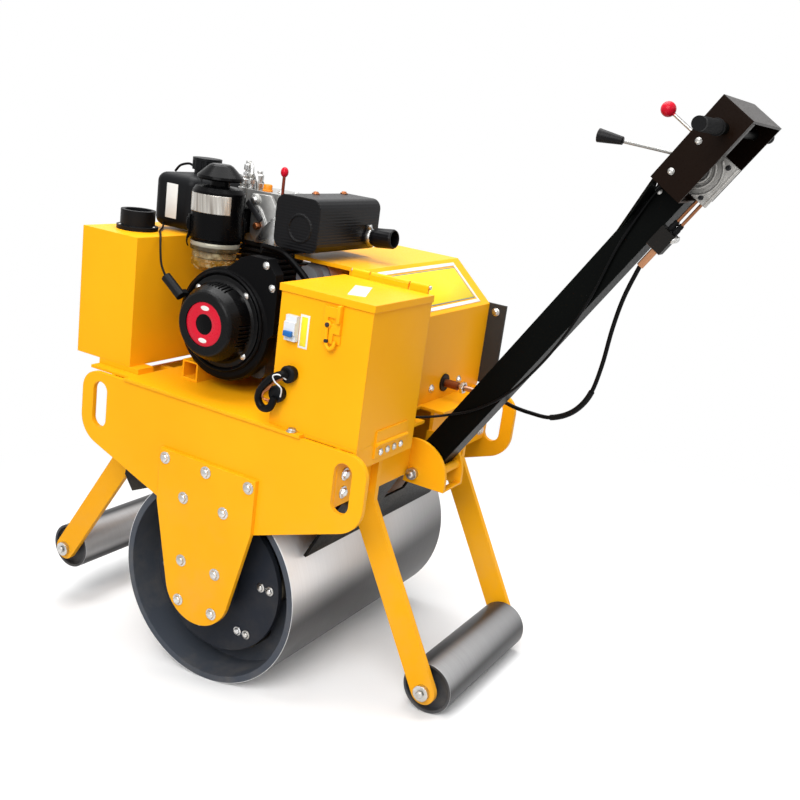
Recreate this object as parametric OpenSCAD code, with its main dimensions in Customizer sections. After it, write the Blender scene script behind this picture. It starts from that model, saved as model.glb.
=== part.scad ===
// Walk-behind single-drum vibratory road roller with a diesel engine, a lifting handle
// and two support rollers. It parks leaning back on its rear support roller.
// Every piece is modelled with the deck level, the drum axis over the origin, +X forward
// and +Y to the left, and the stance then leans the whole machine back.

/* [Drum] */
// Outer diameter of the drum
drum_d = 425; // [400:1:440]
// Length of the drum
drum_l = 600; // [560:1:640]
// Thickness of the drum shell
drum_wall = 14; // [10:1:18]
// Depth of the drum heads inside the drum's ends
head_depth = 85; // [75:1:110]
// Thickness of the drum heads
head_t = 10; // [8:1:16]
// Diameter of the hub discs
hub_d = 310; // [290:1:320]
// Thickness of the hub discs
hub_t = 12; // [8:1:16]
// Depth of the hub discs inside the drum's ends
hub_depth = 32; // [26:1:40]
// Diameter of the rubber buffers behind the hub discs
buffer_d = 66; // [50:1:76]
// Diameter of the circle that the buffers stand on
buffer_pcd = 252; // [230:1:260]
// Number of buffers at each end
buffer_count = 6; // [4:1:6]
// Diameter of the stub axles that carry the drum
stub_d = 60; // [40:1:80]
// Diameter of the bearing housings
housing_d = 128; // [110:1:140]

/* [Frame] */
// Thickness of the side plates
plate_t = 10; // [8:1:12]
// Gap between the drum's ends and the side plates
plate_gap = 10; // [6:1:20]
// Half the length of the side plates
plate_half = 346; // [335:1:380]
// Height of the side plates' top edge
plate_top = 578; // [560:1:600]
// Radius of the side plates' top corners
plate_corner = 40; // [20:1:50]
// Radius of the side plates' heels
plate_heel = 60; // [40:1:70]
// Height of the side plates' lower edge at the middle
belly_z = 356; // [345:1:365]
// Half the width of the side plates' lower edge
belly_half = 104; // [90:1:112]
// Rise of the slanted lower edges, in degrees
belly_rise = 19.5; // [15:0.5:21]
// Width of the lifting slots
slot_w = 38; // [30:1:44]
// Length of the lifting slots
slot_l = 96; // [80:1:104]
// Distance of the lifting slots from the plates' ends
slot_in = 49; // [46:1:60]
// Height of the lifting slots' centre below the plates' top edge
slot_down = 67; // [62:1:72]
// Thickness of the hanger plates
hanger_t = 10; // [8:1:14]
// Half the width of the hanger plates
hanger_half = 118; // [108:1:124]
// Height of the hanger plates' top edge
hanger_top = 472; // [450:1:490]
// Height at which the hanger plates start to taper
hanger_shoulder = 362; // [350:1:380]
// Radius of the hanger plates' round foot
hanger_r = 80; // [74:1:90]
// Thickness of the deck sheet
deck_t = 6; // [4:1:8]
// Thickness of the cross plates
cross_t = 8; // [6:1:10]
// Distance of the cross plates from the drum axis
cross_x = 271; // [262:1:276]
// Height of the cross plates
cross_h = 112; // [90:1:118]

/* [Support rollers] */
// Outer diameter of the support rollers
roller_d = 104; // [90:1:120]
// Length of the support rollers
roller_l = 344; // [320:1:370]
// Thickness of the support rollers' shells
roller_wall = 6; // [4:1:10]
// Distance of the front roller ahead of the drum axis
front_x = 516; // [500:1:540]
// Height of the front roller's axis with the deck level
front_z = 72; // [64:1:84]
// Distance of the rear roller behind the drum axis
rear_x = 455; // [445:1:480]
// Height of the rear roller's axis with the deck level
rear_z = 107; // [96:1:118]
// Width of the legs
leg_w = 52; // [44:1:60]
// Thickness of the legs
leg_t = 12; // [8:1:16]
// Gap between the rollers' ends and the legs
leg_gap = 6; // [4:1:10]
// Height of the bend in the legs
leg_bend_z = 445; // [430:1:455]
// Diameter of the roller axles
axle_d = 20; // [16:1:26]

/* [Handle] */
// Distance of the handle pivot behind the drum axis
pivot_x = 292; // [290:1:305]
// Height of the handle pivot
pivot_z = 470; // [460:1:480]
// Angle of the handle above level ground with the deck level, in degrees
arm_angle = 57.3; // [50:0.1:62]
// Length of the arm from the pivot to the control head
arm_l = 748; // [700:1:780]
// Width of the arm
arm_w = 56; // [44:1:60]
// Depth of the arm
arm_d = 55; // [44:1:60]
// Diameter of the pivot pin
pin_d = 20; // [16:1:26]
// Thickness of the clevis plates
clevis_t = 8; // [6:1:10]
// Gap between the arm and the clevis plates
clevis_gap = 5; // [5:1:8]
// Radius of the clevis plates about the pivot
clevis_r = 72; // [66:1:80]
// Length of the control head along the arm
head_l = 165; // [140:1:190]
// Depth of the control head
head_d = 64; // [60:1:80]
// Width of the control head
head_w = 224; // [180:1:240]
// Sheet thickness of the control head
head_sheet = 4; // [3:1:6]
// Overall length of the grip bar
grip_l = 500; // [470:1:640]
// Diameter of the grip bar
grip_d = 18; // [16:1:24]

/* [Front tank] */
// Length of the tank
tank_l = 148; // [120:1:170]
// Width of the tank across the machine
tank_w = 570; // [500:1:600]
// Height of the tank
tank_h = 262; // [220:1:290]
// Distance of the tank's rear face ahead of the drum axis
tank_x = 255; // [250:1:270]
// Height of the tank's feet
foot_h = 11; // [8:1:20]
// Wall thickness of the tank
tank_wall = 4; // [3:1:6]
// Diameter of the filler neck
filler_d = 70; // [50:1:80]
// Height of the filler neck
filler_h = 40; // [30:1:50]

/* [Battery box] */
// Length of the box along the machine
box_l = 194; // [180:1:200]
// Width of the box across the machine
box_w = 204; // [190:1:206]
// Height of the box up to its lid
box_h = 258; // [240:1:280]
// Wall thickness of the box
box_wall = 4; // [3:1:6]
// Distance of the box's rear face behind the drum axis
box_rear = 312; // [305:1:330]
// Thickness of the lid sheet
lid_t = 3; // [2:1:4]
// Height of the lid's skirt
lid_skirt = 10; // [6:1:14]
// Height of the battery
battery_h = 190; // [160:1:200]

/* [Hood] */
// Height of the hood above the deck
hood_h = 274; // [260:1:285]
// Distance of the hood's rear face behind the drum axis
hood_rear = 240; // [225:1:246]
// Distance of the hood's top bend behind the drum axis
hood_bend = 144; // [130:1:170]
// Distance of the hood's front edge ahead of the drum axis
hood_front = 20; // [0:1:24]
// Height of the hood's sloped panel
hood_slope_h = 85; // [70:1:110]
// Sheet thickness of the hood
hood_t = 4; // [3:1:5]

/* [Engine] */
// Distance of the crankshaft ahead of the drum axis
crank_x = 70; // [66:1:76]
// Height of the crankshaft above the rails
crank_up = 101; // [96:1:108]
// Side of the square rail tubes
rail_s = 40; // [36:1:44]
// Wall thickness of the rail tubes
rail_wall = 4; // [3:1:6]
// Distance between the two rails
rail_pitch = 160; // [150:1:170]
// Radius of the fan shroud
shroud_r = 112; // [104:1:116]
// Radius of the recoil starter at the shroud
recoil_r = 90; // [84:1:96]
// Radius of the recoil starter's front face
recoil_face_r = 62; // [54:1:66]
// Depth of the recoil starter
recoil_depth = 56; // [46:1:62]
// Radius of the air cleaner can
can_r = 53; // [48:1:58]
// Height of the air cleaner can
can_h = 108; // [90:1:120]
// Length of the muffler
muffler_l = 218; // [200:1:230]
// Width and height of the muffler
muffler_s = 104; // [90:1:108]
// Length of the fuel tank
fuel_l = 250; // [220:1:270]
// Width of the fuel tank
fuel_w = 108; // [90:1:115]
// Height of the fuel tank
fuel_h = 112; // [100:1:125]

/* [Hidden] */
$fn = 64;
eps = 0.01;
// Running clearance round pins and shafts
run = 0.05;
// Clearance round bolts and seats that do not turn
seat = 0.2;

yellow = "#f5b51e";
black = "#1c1c1e";
dark_grey = "#3c4044";
steel = "#8d9094";
zinc = "#c4c8cc";
aluminium = "#b4b7ba";
red = "#c01522";
rubber = "#232323";
copper = "#a8643c";

drum_r = drum_d / 2;
roller_r = roller_d / 2;
// Lean that sets the rear roller on the ground together with the drum
rear_reach = norm([rear_x, drum_r - rear_z]);
lean = asin((drum_r - roller_r) / rear_reach) - atan((drum_r - rear_z) / rear_x);

// Handle places in the arm's own frame: forward of the arm's axis, and along it
function arm_point(v, u) = [
  -pivot_x + v * sin(arm_angle) - u * cos(arm_angle),
  pivot_z + v * cos(arm_angle) + u * sin(arm_angle)
];
function leaned_x(x, z) = x * cos(lean) - (z - drum_r) * sin(lean);
head_v0 = -head_d / 2 - 2;
head_corner = arm_point(head_v0, arm_l + head_l);
front_reach = leaned_x(front_x, front_z) + roller_r;
back_reach = leaned_x(head_corner[0], head_corner[1]);
shift_x = -(front_reach + back_reach) / 2;

plate_in = drum_l / 2 + plate_gap;
plate_out = plate_in + plate_t;
hanger_out = plate_out + hanger_t;
deck_z = plate_top + deck_t;
hub_y = drum_l / 2 - hub_depth;
head_y = drum_l / 2 - head_depth;
leg_in = roller_l / 2 + leg_gap;
leg_out = leg_in + leg_t;
clevis_in = arm_w / 2 + clevis_gap;
clevis_out = clevis_in + clevis_t;
cross_out = cross_x + cross_t;
cross_z = plate_top - cross_h;

// Moves a piece from the level machine to the way it parks
module stance() {
  translate([shift_x, 0, drum_r])
    rotate([0, -lean, 0])
      translate([0, 0, -drum_r])
        children();
}

// Extrudes an outline drawn in X and Z between two places across the machine
module across(y0, y1) {
  translate([0, y1, 0])
    rotate([90, 0, 0])
      linear_extrude(y1 - y0)
        children();
}

// Cylinder across the machine
module cross_rod(r, y0, y1) {
  translate([0, y0, 0])
    rotate([-90, 0, 0])
      cylinder(r = r, h = y1 - y0);
}

// Revolves an outline drawn in radius and Y about the Y axis
module about_y() {
  rotate([-90, 0, 0])
    rotate_extrude()
      children();
}

// Square with round corners, centred
module round_square(w, h, r) {
  square([w - 2 * r, h], center = true);
  square([w, h - 2 * r], center = true);
  for (sx = [-1, 1], sz = [-1, 1])
    translate([sx * (w / 2 - r), sz * (h / 2 - r)])
      circle(r);
}

// Frame of the handle arm: X forward of the arm, Z along it, origin at the pivot
module on_arm() {
  stance()
    translate([-pivot_x, 0, pivot_z])
      rotate([0, arm_angle - 90, 0])
        children();
}

module both_sides() {
  children();
  mirror([0, 1, 0])
    children();
}

// Side plates with lifting slots

heel_x = plate_half - plate_heel;
heel_z = belly_z + (plate_heel + sin(belly_rise) * (heel_x - belly_half)) / cos(belly_rise);

module lifting_slot() {
  reach = slot_l / 2 - slot_w / 2;
  square([slot_w, 2 * reach], center = true);
  for (s = [-1, 1])
    translate([0, s * reach])
      circle(slot_w / 2);
}

module side_plate_outline() {
  half = [
    [plate_half - plate_corner, plate_top],
    [plate_half, plate_top - plate_corner],
    [plate_half, heel_z],
    [heel_x + plate_heel * sin(belly_rise), heel_z - plate_heel * cos(belly_rise)],
    [belly_half, belly_z]
  ];
  n = len(half);
  difference() {
    union() {
      polygon(concat(half, [for (i = [n - 1:-1:0]) [-half[i][0], half[i][1]]]));
      for (s = [-1, 1]) {
        translate([s * (plate_half - plate_corner), plate_top - plate_corner])
          circle(plate_corner);
        translate([s * heel_x, heel_z])
          circle(plate_heel);
      }
    }
    for (s = [-1, 1])
      translate([s * (plate_half - slot_in), plate_top - slot_down])
        lifting_slot();
  }
}

module side_plates() {
  color(yellow)
    stance()
      both_sides()
        across(plate_in, plate_out)
          side_plate_outline();
}

// Hanger plates that carry the drum from the side plates

hanger_rise = hanger_shoulder - drum_r;
hanger_turn = atan2(hanger_rise, hanger_half) - acos(hanger_r / norm([hanger_half, hanger_rise]));
hanger_foot = [hanger_r * cos(hanger_turn), drum_r + hanger_r * sin(hanger_turn)];

module hanger_plates() {
  color(yellow)
    stance()
      both_sides()
        across(plate_out, hanger_out) {
          polygon([
            [-hanger_half, hanger_top], [hanger_half, hanger_top],
            [hanger_half, hanger_shoulder], hanger_foot,
            [-hanger_foot[0], hanger_foot[1]], [-hanger_half, hanger_shoulder]
          ]);
          translate([0, drum_r])
            circle(hanger_r);
        }
}

// Deck sheet, wide between the tank and the battery box, with an apron under the box

deck_wide = plate_out + 4;
deck_narrow = plate_in - 2;
deck_front = plate_half - 8;
step_back = 24;
deck_step = tank_x - step_back;
deck_rear = 300;
apron_h = 34;
apron_t = 6;
box_out = plate_in - 2;
box_in = box_out - box_w;
notch_y = clevis_in + 7;
notch_x = hood_rear + 6;
lug_x = 175;
lug_w = 48;

module deck_outline() {
  difference() {
    union() {
      translate([-deck_rear, -deck_narrow])
        square([deck_front + deck_rear, 2 * deck_narrow]);
      translate([-lug_x - lug_w / 2, -deck_wide])
        square([deck_step + lug_x + lug_w / 2, 2 * deck_wide]);
      translate([-box_rear, box_in])
        square([box_rear, box_w]);
    }
    translate([-box_rear - 1, -notch_y])
      square([box_rear + 1 - notch_x, 2 * notch_y]);
    translate([deck_step, -tank_w / 2 + foot_w])
      square([deck_front, tank_w - 2 * foot_w]);
  }
}

module deck() {
  color(yellow)
    stance() {
      translate([0, 0, plate_top])
        linear_extrude(deck_t)
          deck_outline();
      translate([-box_rear, box_in, plate_top - apron_h])
        cube([apron_t, box_w, apron_h + eps]);
    }
}

// Cross plates under the deck, open in the middle of the rear one for the handle

module leg_slot(x, y) {
  translate([x - leg_w, y, cross_z - 1])
    cube([2 * leg_w, leg_t, leg_top - cross_z + 1]);
}

leg_top = plate_top - apron_h - 2;
front_bend = 285;
rear_bend = 268;

module cross_plates() {
  color(yellow)
    stance()
      both_sides() {
        difference() {
          translate([-cross_out, clevis_out, cross_z])
            cube([cross_t, plate_in - clevis_out, cross_h]);
          leg_slot(-rear_bend, leg_in);
        }
        difference() {
          translate([cross_x, 0, cross_z])
            cube([cross_t, plate_in, cross_h]);
          leg_slot(front_bend, leg_in);
        }
      }
}

// Brackets inside the legs, from the cross plates up to the deck

bracket_t = 12;
pad_l = 38;

module leg_brackets() {
  color(yellow)
    stance()
      both_sides()
        for (x0 = [-cross_x, cross_x - leg_w - pad_l + 30])
          translate([x0, leg_in - bracket_t, cross_z])
            cube([leg_w + pad_l - 30, bracket_t, cross_h]);
}

// Legs: flat bars bent below the side plates, with a bolted pad at the top

module leg_outline(axle_x, axle_z, bend_x) {
  bend = [bend_x, leg_bend_z];
  axle = [axle_x, axle_z];
  dir = (axle - bend) / norm(axle - bend);
  side = [-dir[1], dir[0]] * leg_w / 2;
  slip = (leg_w / 2 - side[0]) / dir[0];
  inner = bend_x - leg_w / 2;
  difference() {
    union() {
      polygon([
        axle + side, bend + side + slip * dir,
        [bend_x + leg_w / 2, leg_top], [inner - pad_l, leg_top],
        [inner - pad_l, leg_bend_z + 5], [inner, leg_bend_z + 5],
        bend - side - slip * dir, axle - side
      ]);
      translate(axle)
        circle(leg_w / 2);
    }
    translate(axle)
      circle(axle_d / 2 + seat);
  }
}

module front_legs() {
  color(yellow)
    stance()
      both_sides()
        across(leg_in, leg_out)
          leg_outline(front_x, front_z, front_bend);
}

module rear_legs() {
  color(yellow)
    stance()
      both_sides()
        across(leg_in, leg_out)
          mirror([1, 0])
            leg_outline(rear_x, rear_z, rear_bend);
}

axle_head_r = 16;
axle_head_t = 9;

module roller_axle() {
  cross_rod(axle_d / 2, -leg_out - eps, leg_out + eps);
  both_sides()
    cross_rod(axle_head_r, leg_out, leg_out + axle_head_t);
}

module roller_axles() {
  color(zinc)
    stance() {
      translate([front_x, 0, front_z])
        roller_axle();
      translate([-rear_x, 0, rear_z])
        roller_axle();
    }
}

// Scrapers: bent plates on the cross plates that end just off the drum

scraper_gap = 6;
scraper_t = 6;
scraper_angle = 30;
scraper_y = 250;
scraper_flange = 34;

module scraper_outline() {
  tip = (drum_r + scraper_gap) * [cos(scraper_angle), sin(scraper_angle)] + [0, drum_r];
  root = [cross_x, cross_z + 6];
  dir = (root - tip) / norm(root - tip);
  side = [dir[1], -dir[0]] * scraper_t;
  polygon([
    tip, root - [scraper_t, 0], root + [-scraper_t, scraper_flange],
    root + [0, scraper_flange], root, tip + side
  ]);
}

module scrapers() {
  color(black)
    stance()
      for (s = [0, 1])
        mirror([s, 0, 0])
          difference() {
            across(-scraper_y, scraper_y)
              scraper_outline();
            both_sides()
              translate([drum_r - 20, leg_in - bracket_t - 2, leg_bend_z - 48])
                cube([cross_x, leg_t + bracket_t + 4, cross_h]);
            if (s == 1)
              translate([drum_r - 20, -clevis_out, pivot_z - clevis_r])
                cube([cross_x, 2 * clevis_out, cross_h]);
          }
}

// Drum: shell with recessed heads, buffers and hub discs

module drum_frame() {
  stance()
    translate([0, 0, drum_r])
      children();
}

module drum_shell() {
  inner = drum_r - drum_wall;
  color(steel)
    drum_frame()
      about_y() {
        translate([inner, -drum_l / 2])
          square([drum_wall, drum_l]);
        for (y = [-head_y, head_y - head_t])
          translate([stub_d / 2 + 20, y])
            square([inner - stub_d / 2 - 20 + eps, head_t]);
      }
}

module hub_discs() {
  color(dark_grey)
    drum_frame()
      both_sides()
        about_y()
          translate([stub_d / 2 + run, hub_y - hub_t])
            square([hub_d / 2 - stub_d / 2 - run, hub_t]);
}

buffer_phase = 8;

module drum_buffers() {
  color(rubber)
    drum_frame()
      both_sides()
        for (i = [0:buffer_count - 1])
          rotate([0, buffer_phase + i * 360 / buffer_count, 0])
            translate([buffer_pcd / 2, 0, 0])
              cross_rod(buffer_d / 2, head_y, hub_y - hub_t);
}

// Bearing housings bolted inside the hanger plates, with the stub axles

housing_l = 40;

module drum_hubs() {
  color(dark_grey)
    drum_frame()
      both_sides() {
        cross_rod(housing_d / 2, plate_out - housing_l, plate_out);
        cross_rod(stub_d / 2, hub_y - hub_t - 6, plate_out - housing_l + eps);
      }
}

// Support rollers

roller_recess = 12;
roller_disc_t = 10;

module support_roller() {
  about_y() {
    translate([roller_r - roller_wall, -roller_l / 2])
      square([roller_wall, roller_l]);
    for (y = [-roller_l / 2 + roller_recess, roller_l / 2 - roller_recess - roller_disc_t])
      translate([axle_d / 2 + run, y])
        square([roller_r - roller_wall - axle_d / 2 - run + eps, roller_disc_t]);
    translate([axle_d / 2 + run, -roller_l / 2 - leg_gap / 2])
      square([8, roller_l + leg_gap]);
  }
}

module front_roller() {
  color(steel)
    stance()
      translate([front_x, 0, front_z])
        support_roller();
}

module rear_roller() {
  color(steel)
    stance()
      translate([-rear_x, 0, rear_z])
        support_roller();
}

// Clevis for the handle, with the bar that stops the arm

stop_r = 9;
stop_u = 46;
stop_spot = arm_point(-arm_d / 2 - stop_r - 0.3, stop_u);

module clevis_outline() {
  difference() {
    union() {
      translate([-pivot_x, pivot_z])
        circle(clevis_r);
      translate([-pivot_x - clevis_r, pivot_z - 22])
        square([clevis_r + pivot_x - cross_x, 22]);
    }
    translate([-cross_x, pivot_z - clevis_r - 1])
      square([clevis_r, 2 * clevis_r + 2]);
    translate([-pivot_x - clevis_r - 1, pivot_z - clevis_r - 1])
      square([2 * clevis_r, clevis_r - 21]);
    translate([-pivot_x, pivot_z])
      circle(pin_d / 2 + seat);
  }
}

module handle_clevis() {
  color(yellow)
    stance() {
      both_sides()
        across(clevis_in, clevis_out)
          clevis_outline();
      translate([stop_spot[0], 0, stop_spot[1]])
        cross_rod(stop_r, -clevis_in - eps, clevis_in + eps);
    }
}

pin_head_r = 12;
pin_head_t = 10;

module pivot_pin() {
  color(zinc)
    stance()
      translate([-pivot_x, 0, pivot_z]) {
        cross_rod(pin_d / 2, -clevis_out - eps, clevis_out + eps);
        both_sides()
          cross_rod(pin_head_r, clevis_out, clevis_out + pin_head_t);
      }
}

// Front tank on two feet, with its filler neck

tank_z = deck_z + foot_h;
filler_in = 84;
filler_x = tank_x + filler_in;
fuel_y1 = 140;
filler_rim = 7;
filler_y = fuel_y1 + (tank_w / 2 - fuel_y1) * 12 / 29;
filler_wall = 8;
foot_l = 108;
foot_w = 44;

module front_tank() {
  color(yellow)
    stance()
      difference() {
        translate([tank_x, -tank_w / 2, tank_z])
          cube([tank_l, tank_w, tank_h]);
        translate([tank_x + tank_wall, -tank_w / 2 + tank_wall, tank_z + tank_wall])
          cube([tank_l - 2 * tank_wall, tank_w - 2 * tank_wall, tank_h - 2 * tank_wall]);
        translate([filler_x, filler_y, tank_z + tank_h - tank_wall - 1])
          cylinder(d = filler_d - 2 * filler_wall, h = tank_wall + 2);
      }
}

module tank_feet() {
  color(yellow)
    stance()
      both_sides()
        translate([deck_step, tank_w / 2 - foot_w, deck_z])
          cube([foot_l, foot_w, foot_h]);
}

module tank_filler() {
  color(black)
    stance()
      translate([filler_x, filler_y, tank_z + tank_h]) {
        difference() {
          cylinder(d = filler_d + 2 * filler_rim, h = 8);
          translate([0, 0, -1])
            cylinder(d = filler_d - 2 * filler_wall, h = 10);
        }
        difference() {
          cylinder(d = filler_d, h = filler_h);
          translate([0, 0, 12])
            cylinder(d = filler_d - 2 * filler_wall, h = filler_h);
        }
      }
}

// Battery box, its battery, its lid and its fittings

box_z = deck_z;
box_top = box_z + box_h;
battery_l = box_l - 2 * box_wall - 16;
battery_w = box_w - 2 * box_wall - 16;
box_mid = (box_in + box_out) / 2;
hinge_r = 5;
hinge_pin_r = 2.5;
hinge_y = box_in - hinge_r;
hinge_up = 14;
hinge_z = box_top + hinge_up;
hinge_l = 40;

module battery_box() {
  color(yellow)
    stance() {
      difference() {
        translate([-box_rear, box_in, box_z])
          cube([box_l, box_w, box_h]);
        translate([-box_rear + box_wall, box_in + box_wall, box_z + box_wall])
          cube([box_l - 2 * box_wall, box_w - 2 * box_wall, box_h]);
      }
      for (x = [-box_rear + 12, -box_rear + box_l - 12 - hinge_l])
        translate([x, hinge_y, hinge_z])
          rotate([0, 90, 0])
            difference() {
              union() {
                cylinder(r = hinge_r, h = hinge_l);
                cube([hinge_up + 16, hinge_r + eps, hinge_l]);
              }
              translate([0, 0, -1])
                cylinder(r = hinge_pin_r, h = hinge_l + 2);
            }
    }
}

module battery() {
  color(black)
    stance()
      translate([-box_rear + box_l / 2, box_mid, box_z + box_wall + battery_h / 2])
        cube([battery_l, battery_w, battery_h], center = true);
}

lid_gap = 0.5;

module battery_lid() {
  reach = lid_t + lid_gap;
  knuckle_l = box_l - 24 - 2 * hinge_l - 4;
  color(yellow)
    stance() {
      difference() {
        translate([-box_rear - reach, box_in + 1, box_top + 0.3 - lid_skirt])
          cube([box_l + 2 * reach, box_w + reach - 1, lid_skirt + lid_t]);
        translate([-box_rear - lid_gap, box_in - 1, box_top - 0.3 - lid_skirt])
          cube([box_l + 2 * lid_gap, box_w + 1 + lid_gap, lid_skirt + 0.6]);
      }
      translate([-box_rear + 14 + hinge_l, hinge_y, hinge_z])
        rotate([0, 90, 0])
          difference() {
            union() {
              cylinder(r = hinge_r, h = knuckle_l);
              translate([0, hinge_r - lid_t, 0])
                cube([hinge_up - 0.3, lid_t + 3, knuckle_l]);
            }
            translate([0, 0, -1])
              cylinder(r = hinge_pin_r + run, h = knuckle_l + 2);
          }
    }
}

latch_w = 36;
latch_h = 64;
latch_t = 7;
latch_x = 60;

module lid_latch() {
  color(yellow)
    stance()
      translate([-box_rear + latch_x, box_out, box_top - lid_skirt - latch_h - 6])
        difference() {
          cube([latch_w, latch_t, latch_h]);
          translate([-1, 3, -1])
            cube([latch_w * 0.4, latch_t, latch_h * 0.3]);
          translate([latch_w * 0.3, 3, latch_h * 0.55])
            cube([latch_w * 0.45, latch_t, latch_h * 0.16]);
          translate([latch_w * 0.62, 3, latch_h * 0.12])
            cube([latch_w * 0.12, latch_t, latch_h * 0.3]);
        }
}

box_hinge_l = 110;
box_hinge_y = box_in + 34;
leaf_t = 3;
leaf_h = 26;
knuckle_r = 4;

module box_hinge() {
  color(yellow)
    stance()
      translate([-box_rear - leaf_t, box_hinge_y, box_z - 2]) {
        translate([0, 0, -leaf_h])
          cube([leaf_t, box_hinge_l, 2 * leaf_h]);
        translate([leaf_t - knuckle_r, 0, 0])
          cross_rod(knuckle_r, 0, box_hinge_l);
      }
}

breaker_w = 24;
breaker_h = 46;
breaker_t = 14;

module breaker() {
  color("#d8dadc")
    stance()
      translate([-box_rear + box_l - breaker_w - 21, box_out, box_z + 164]) {
        cube([breaker_w, breaker_t * 0.7, breaker_h]);
        translate([0, 0, breaker_h * 0.25])
          cube([breaker_w, breaker_t, breaker_h * 0.5]);
      }
}

plug_r = 16;
plug_l = 18;
plug_spots = [[-40, 104], [-19, 62]];

module connectors() {
  color(black)
    stance()
      for (p = plug_spots)
        translate([-box_rear + box_l + p[0], box_out, box_z + p[1]])
          about_y()
            polygon([
              [0, 0], [plug_r - 2, 0], [plug_r - 2, plug_l * 0.3], [plug_r, plug_l * 0.4],
              [plug_r, plug_l * 0.8], [plug_r - 3, plug_l], [0, plug_l]
            ]);
}

// Hood over the pump, open towards the engine, and the plate on its far side

hood_far = -plate_out + 4;
hood_near = box_in - 2 * hinge_r - 8;
hood_top = deck_z + hood_h;
hood_lip = hood_top - hood_slope_h;
hood_slope = atan(hood_slope_h / (hood_rear - hood_bend));
gland_y = -142;
gland_up = 33;
gland_z = deck_z + gland_up;
gland_l = 86;
gland_nut_l = 36;
gland_hole_d = 30;
gland_flange_d = 38;
hood_window = 30;

module hood_outline(t) {
  polygon([
    [hood_front, deck_z], [hood_front, hood_top - t],
    [-hood_bend + t * tan(hood_slope / 2), hood_top - t],
    [-hood_rear + t, hood_lip - t * tan(45 - hood_slope / 2)],
    [-hood_rear + t, deck_z]
  ]);
}

module hood() {
  color(yellow)
    stance()
      difference() {
        across(hood_far, hood_near)
          hood_outline(0);
        translate([1, 0, -1])
          across(hood_far + hood_t, hood_near - hood_t)
            hood_outline(hood_t);
        translate([1, 0, -hood_t])
          across(hood_far + hood_t, hood_near + 1)
            intersection() {
              hood_outline(hood_t);
              translate([-hood_bend + hood_window, 0])
                square(2 * hood_top);
            }
        translate([-hood_rear - 1, gland_y, gland_z])
          rotate([0, 90, 0])
            cylinder(d = gland_hole_d, h = hood_t + 2);
      }
}

side_plate_l = 170;
side_plate_back = 42;

module hood_side_plate() {
  color(dark_grey)
    stance()
      across(hood_far - 5, hood_far)
        translate([-hood_rear - side_plate_back, deck_z + 6])
          square([side_plate_l, hood_h - hood_slope_h - 4]);
}

pump_l = 120;
pump_w = 140;
pump_h = 120;
pump_in = 86;

module pump_block() {
  color(dark_grey)
    stance()
      translate([-hood_rear + pump_l / 3, hood_far + pump_in, deck_z])
        cube([pump_l, pump_w, pump_h]);
}

module cable_gland() {
  color(copper)
    stance()
      translate([-hood_rear - gland_l, gland_y, gland_z])
        rotate([0, 90, 0]) {
          cylinder(d = 12, h = gland_l + hood_t + 20);
          translate([0, 0, gland_l - gland_nut_l])
            cylinder(d = 18, h = gland_nut_l);
          translate([0, 0, gland_l - 4])
            cylinder(d = gland_flange_d, h = 4);
        }
}

// Engine on its two rails

rail_y0 = -110;
rail_ends = [134, 224];
rail_z = deck_z + rail_s;
crank_z = rail_z + crank_up;
case_y1 = 206;
case_y0 = -80;
case_x0 = crank_x - 92;
case_x1 = crank_x + 92;
case_top = crank_z + 50;
shroud_y0 = case_y1;
shroud_y1 = case_y1 + 28;
recoil_y1 = shroud_y1 + recoil_depth;

module engine_rails() {
  color(yellow)
    stance()
      for (i = [0, 1])
        translate([crank_x + (i - 0.5) * rail_pitch - rail_s / 2, rail_y0, deck_z]) {
          rail_l = rail_ends[i] - rail_y0;
          difference() {
            cube([rail_s, rail_l, rail_s]);
            translate([rail_wall, -1, rail_wall])
              cube([rail_s - 2 * rail_wall, rail_l + 2, rail_s - 2 * rail_wall]);
          }
        }
}

module crankcase() {
  color(dark_grey)
    stance()
      across(case_y0, case_y1)
        translate([crank_x, (rail_z + case_top) / 2])
          round_square(case_x1 - case_x0, case_top - rail_z, 14);
}

// Finned cylinder with its head, and the arms that carry the fuel tank

cyl_ahead = 62;
cyl_x = crank_x + cyl_ahead;
cyl_y = 10;
cyl_w = 124;
cyl_d = 118;
fin_count = 7;
fin_t = 5;
fin_pitch = 12;
cyl_core = 14;
cyl_top = case_top + fin_count * fin_pitch;
head_h = 76;
head_top = cyl_top + head_h;
cover_h = 30;
fuel_arm_h = 44;
fuel_x = cyl_x + cyl_w / 2 + 56;

module engine_cylinder() {
  color(aluminium)
    stance() {
      translate([cyl_x, cyl_y, 0]) {
        translate([-cyl_w / 2 + cyl_core, -cyl_d / 2 + cyl_core, case_top])
          cube([cyl_w - 2 * cyl_core, cyl_d - 2 * cyl_core, cyl_top - case_top]);
        for (i = [1:fin_count])
          translate([-cyl_w / 2, -cyl_d / 2, case_top + i * fin_pitch - fin_t])
            cube([cyl_w, cyl_d, fin_t]);
        translate([-cyl_w / 2, -cyl_d / 2, cyl_top - eps])
          cube([cyl_w, cyl_d, head_h]);
        translate([0, 0, head_top - 2 * eps])
          linear_extrude(cover_h)
            round_square(cyl_w - 18, cyl_d - 18, 12);
      }
      for (y = [-34, 26])
        translate([cyl_x + cyl_w / 2 - eps, y, fuel_z + 8])
          cube([fuel_x - cyl_x - cyl_w / 2 + eps, 8, fuel_arm_h]);
    }
}

// Fan shroud with the duct that leads up to the cylinder, and the recoil starter

duct_w = 122;
duct_h = 139;
shroud_edge = 8;
ridge_r = 96;
ridge_h = 7;
shroud_low = 6;

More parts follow.
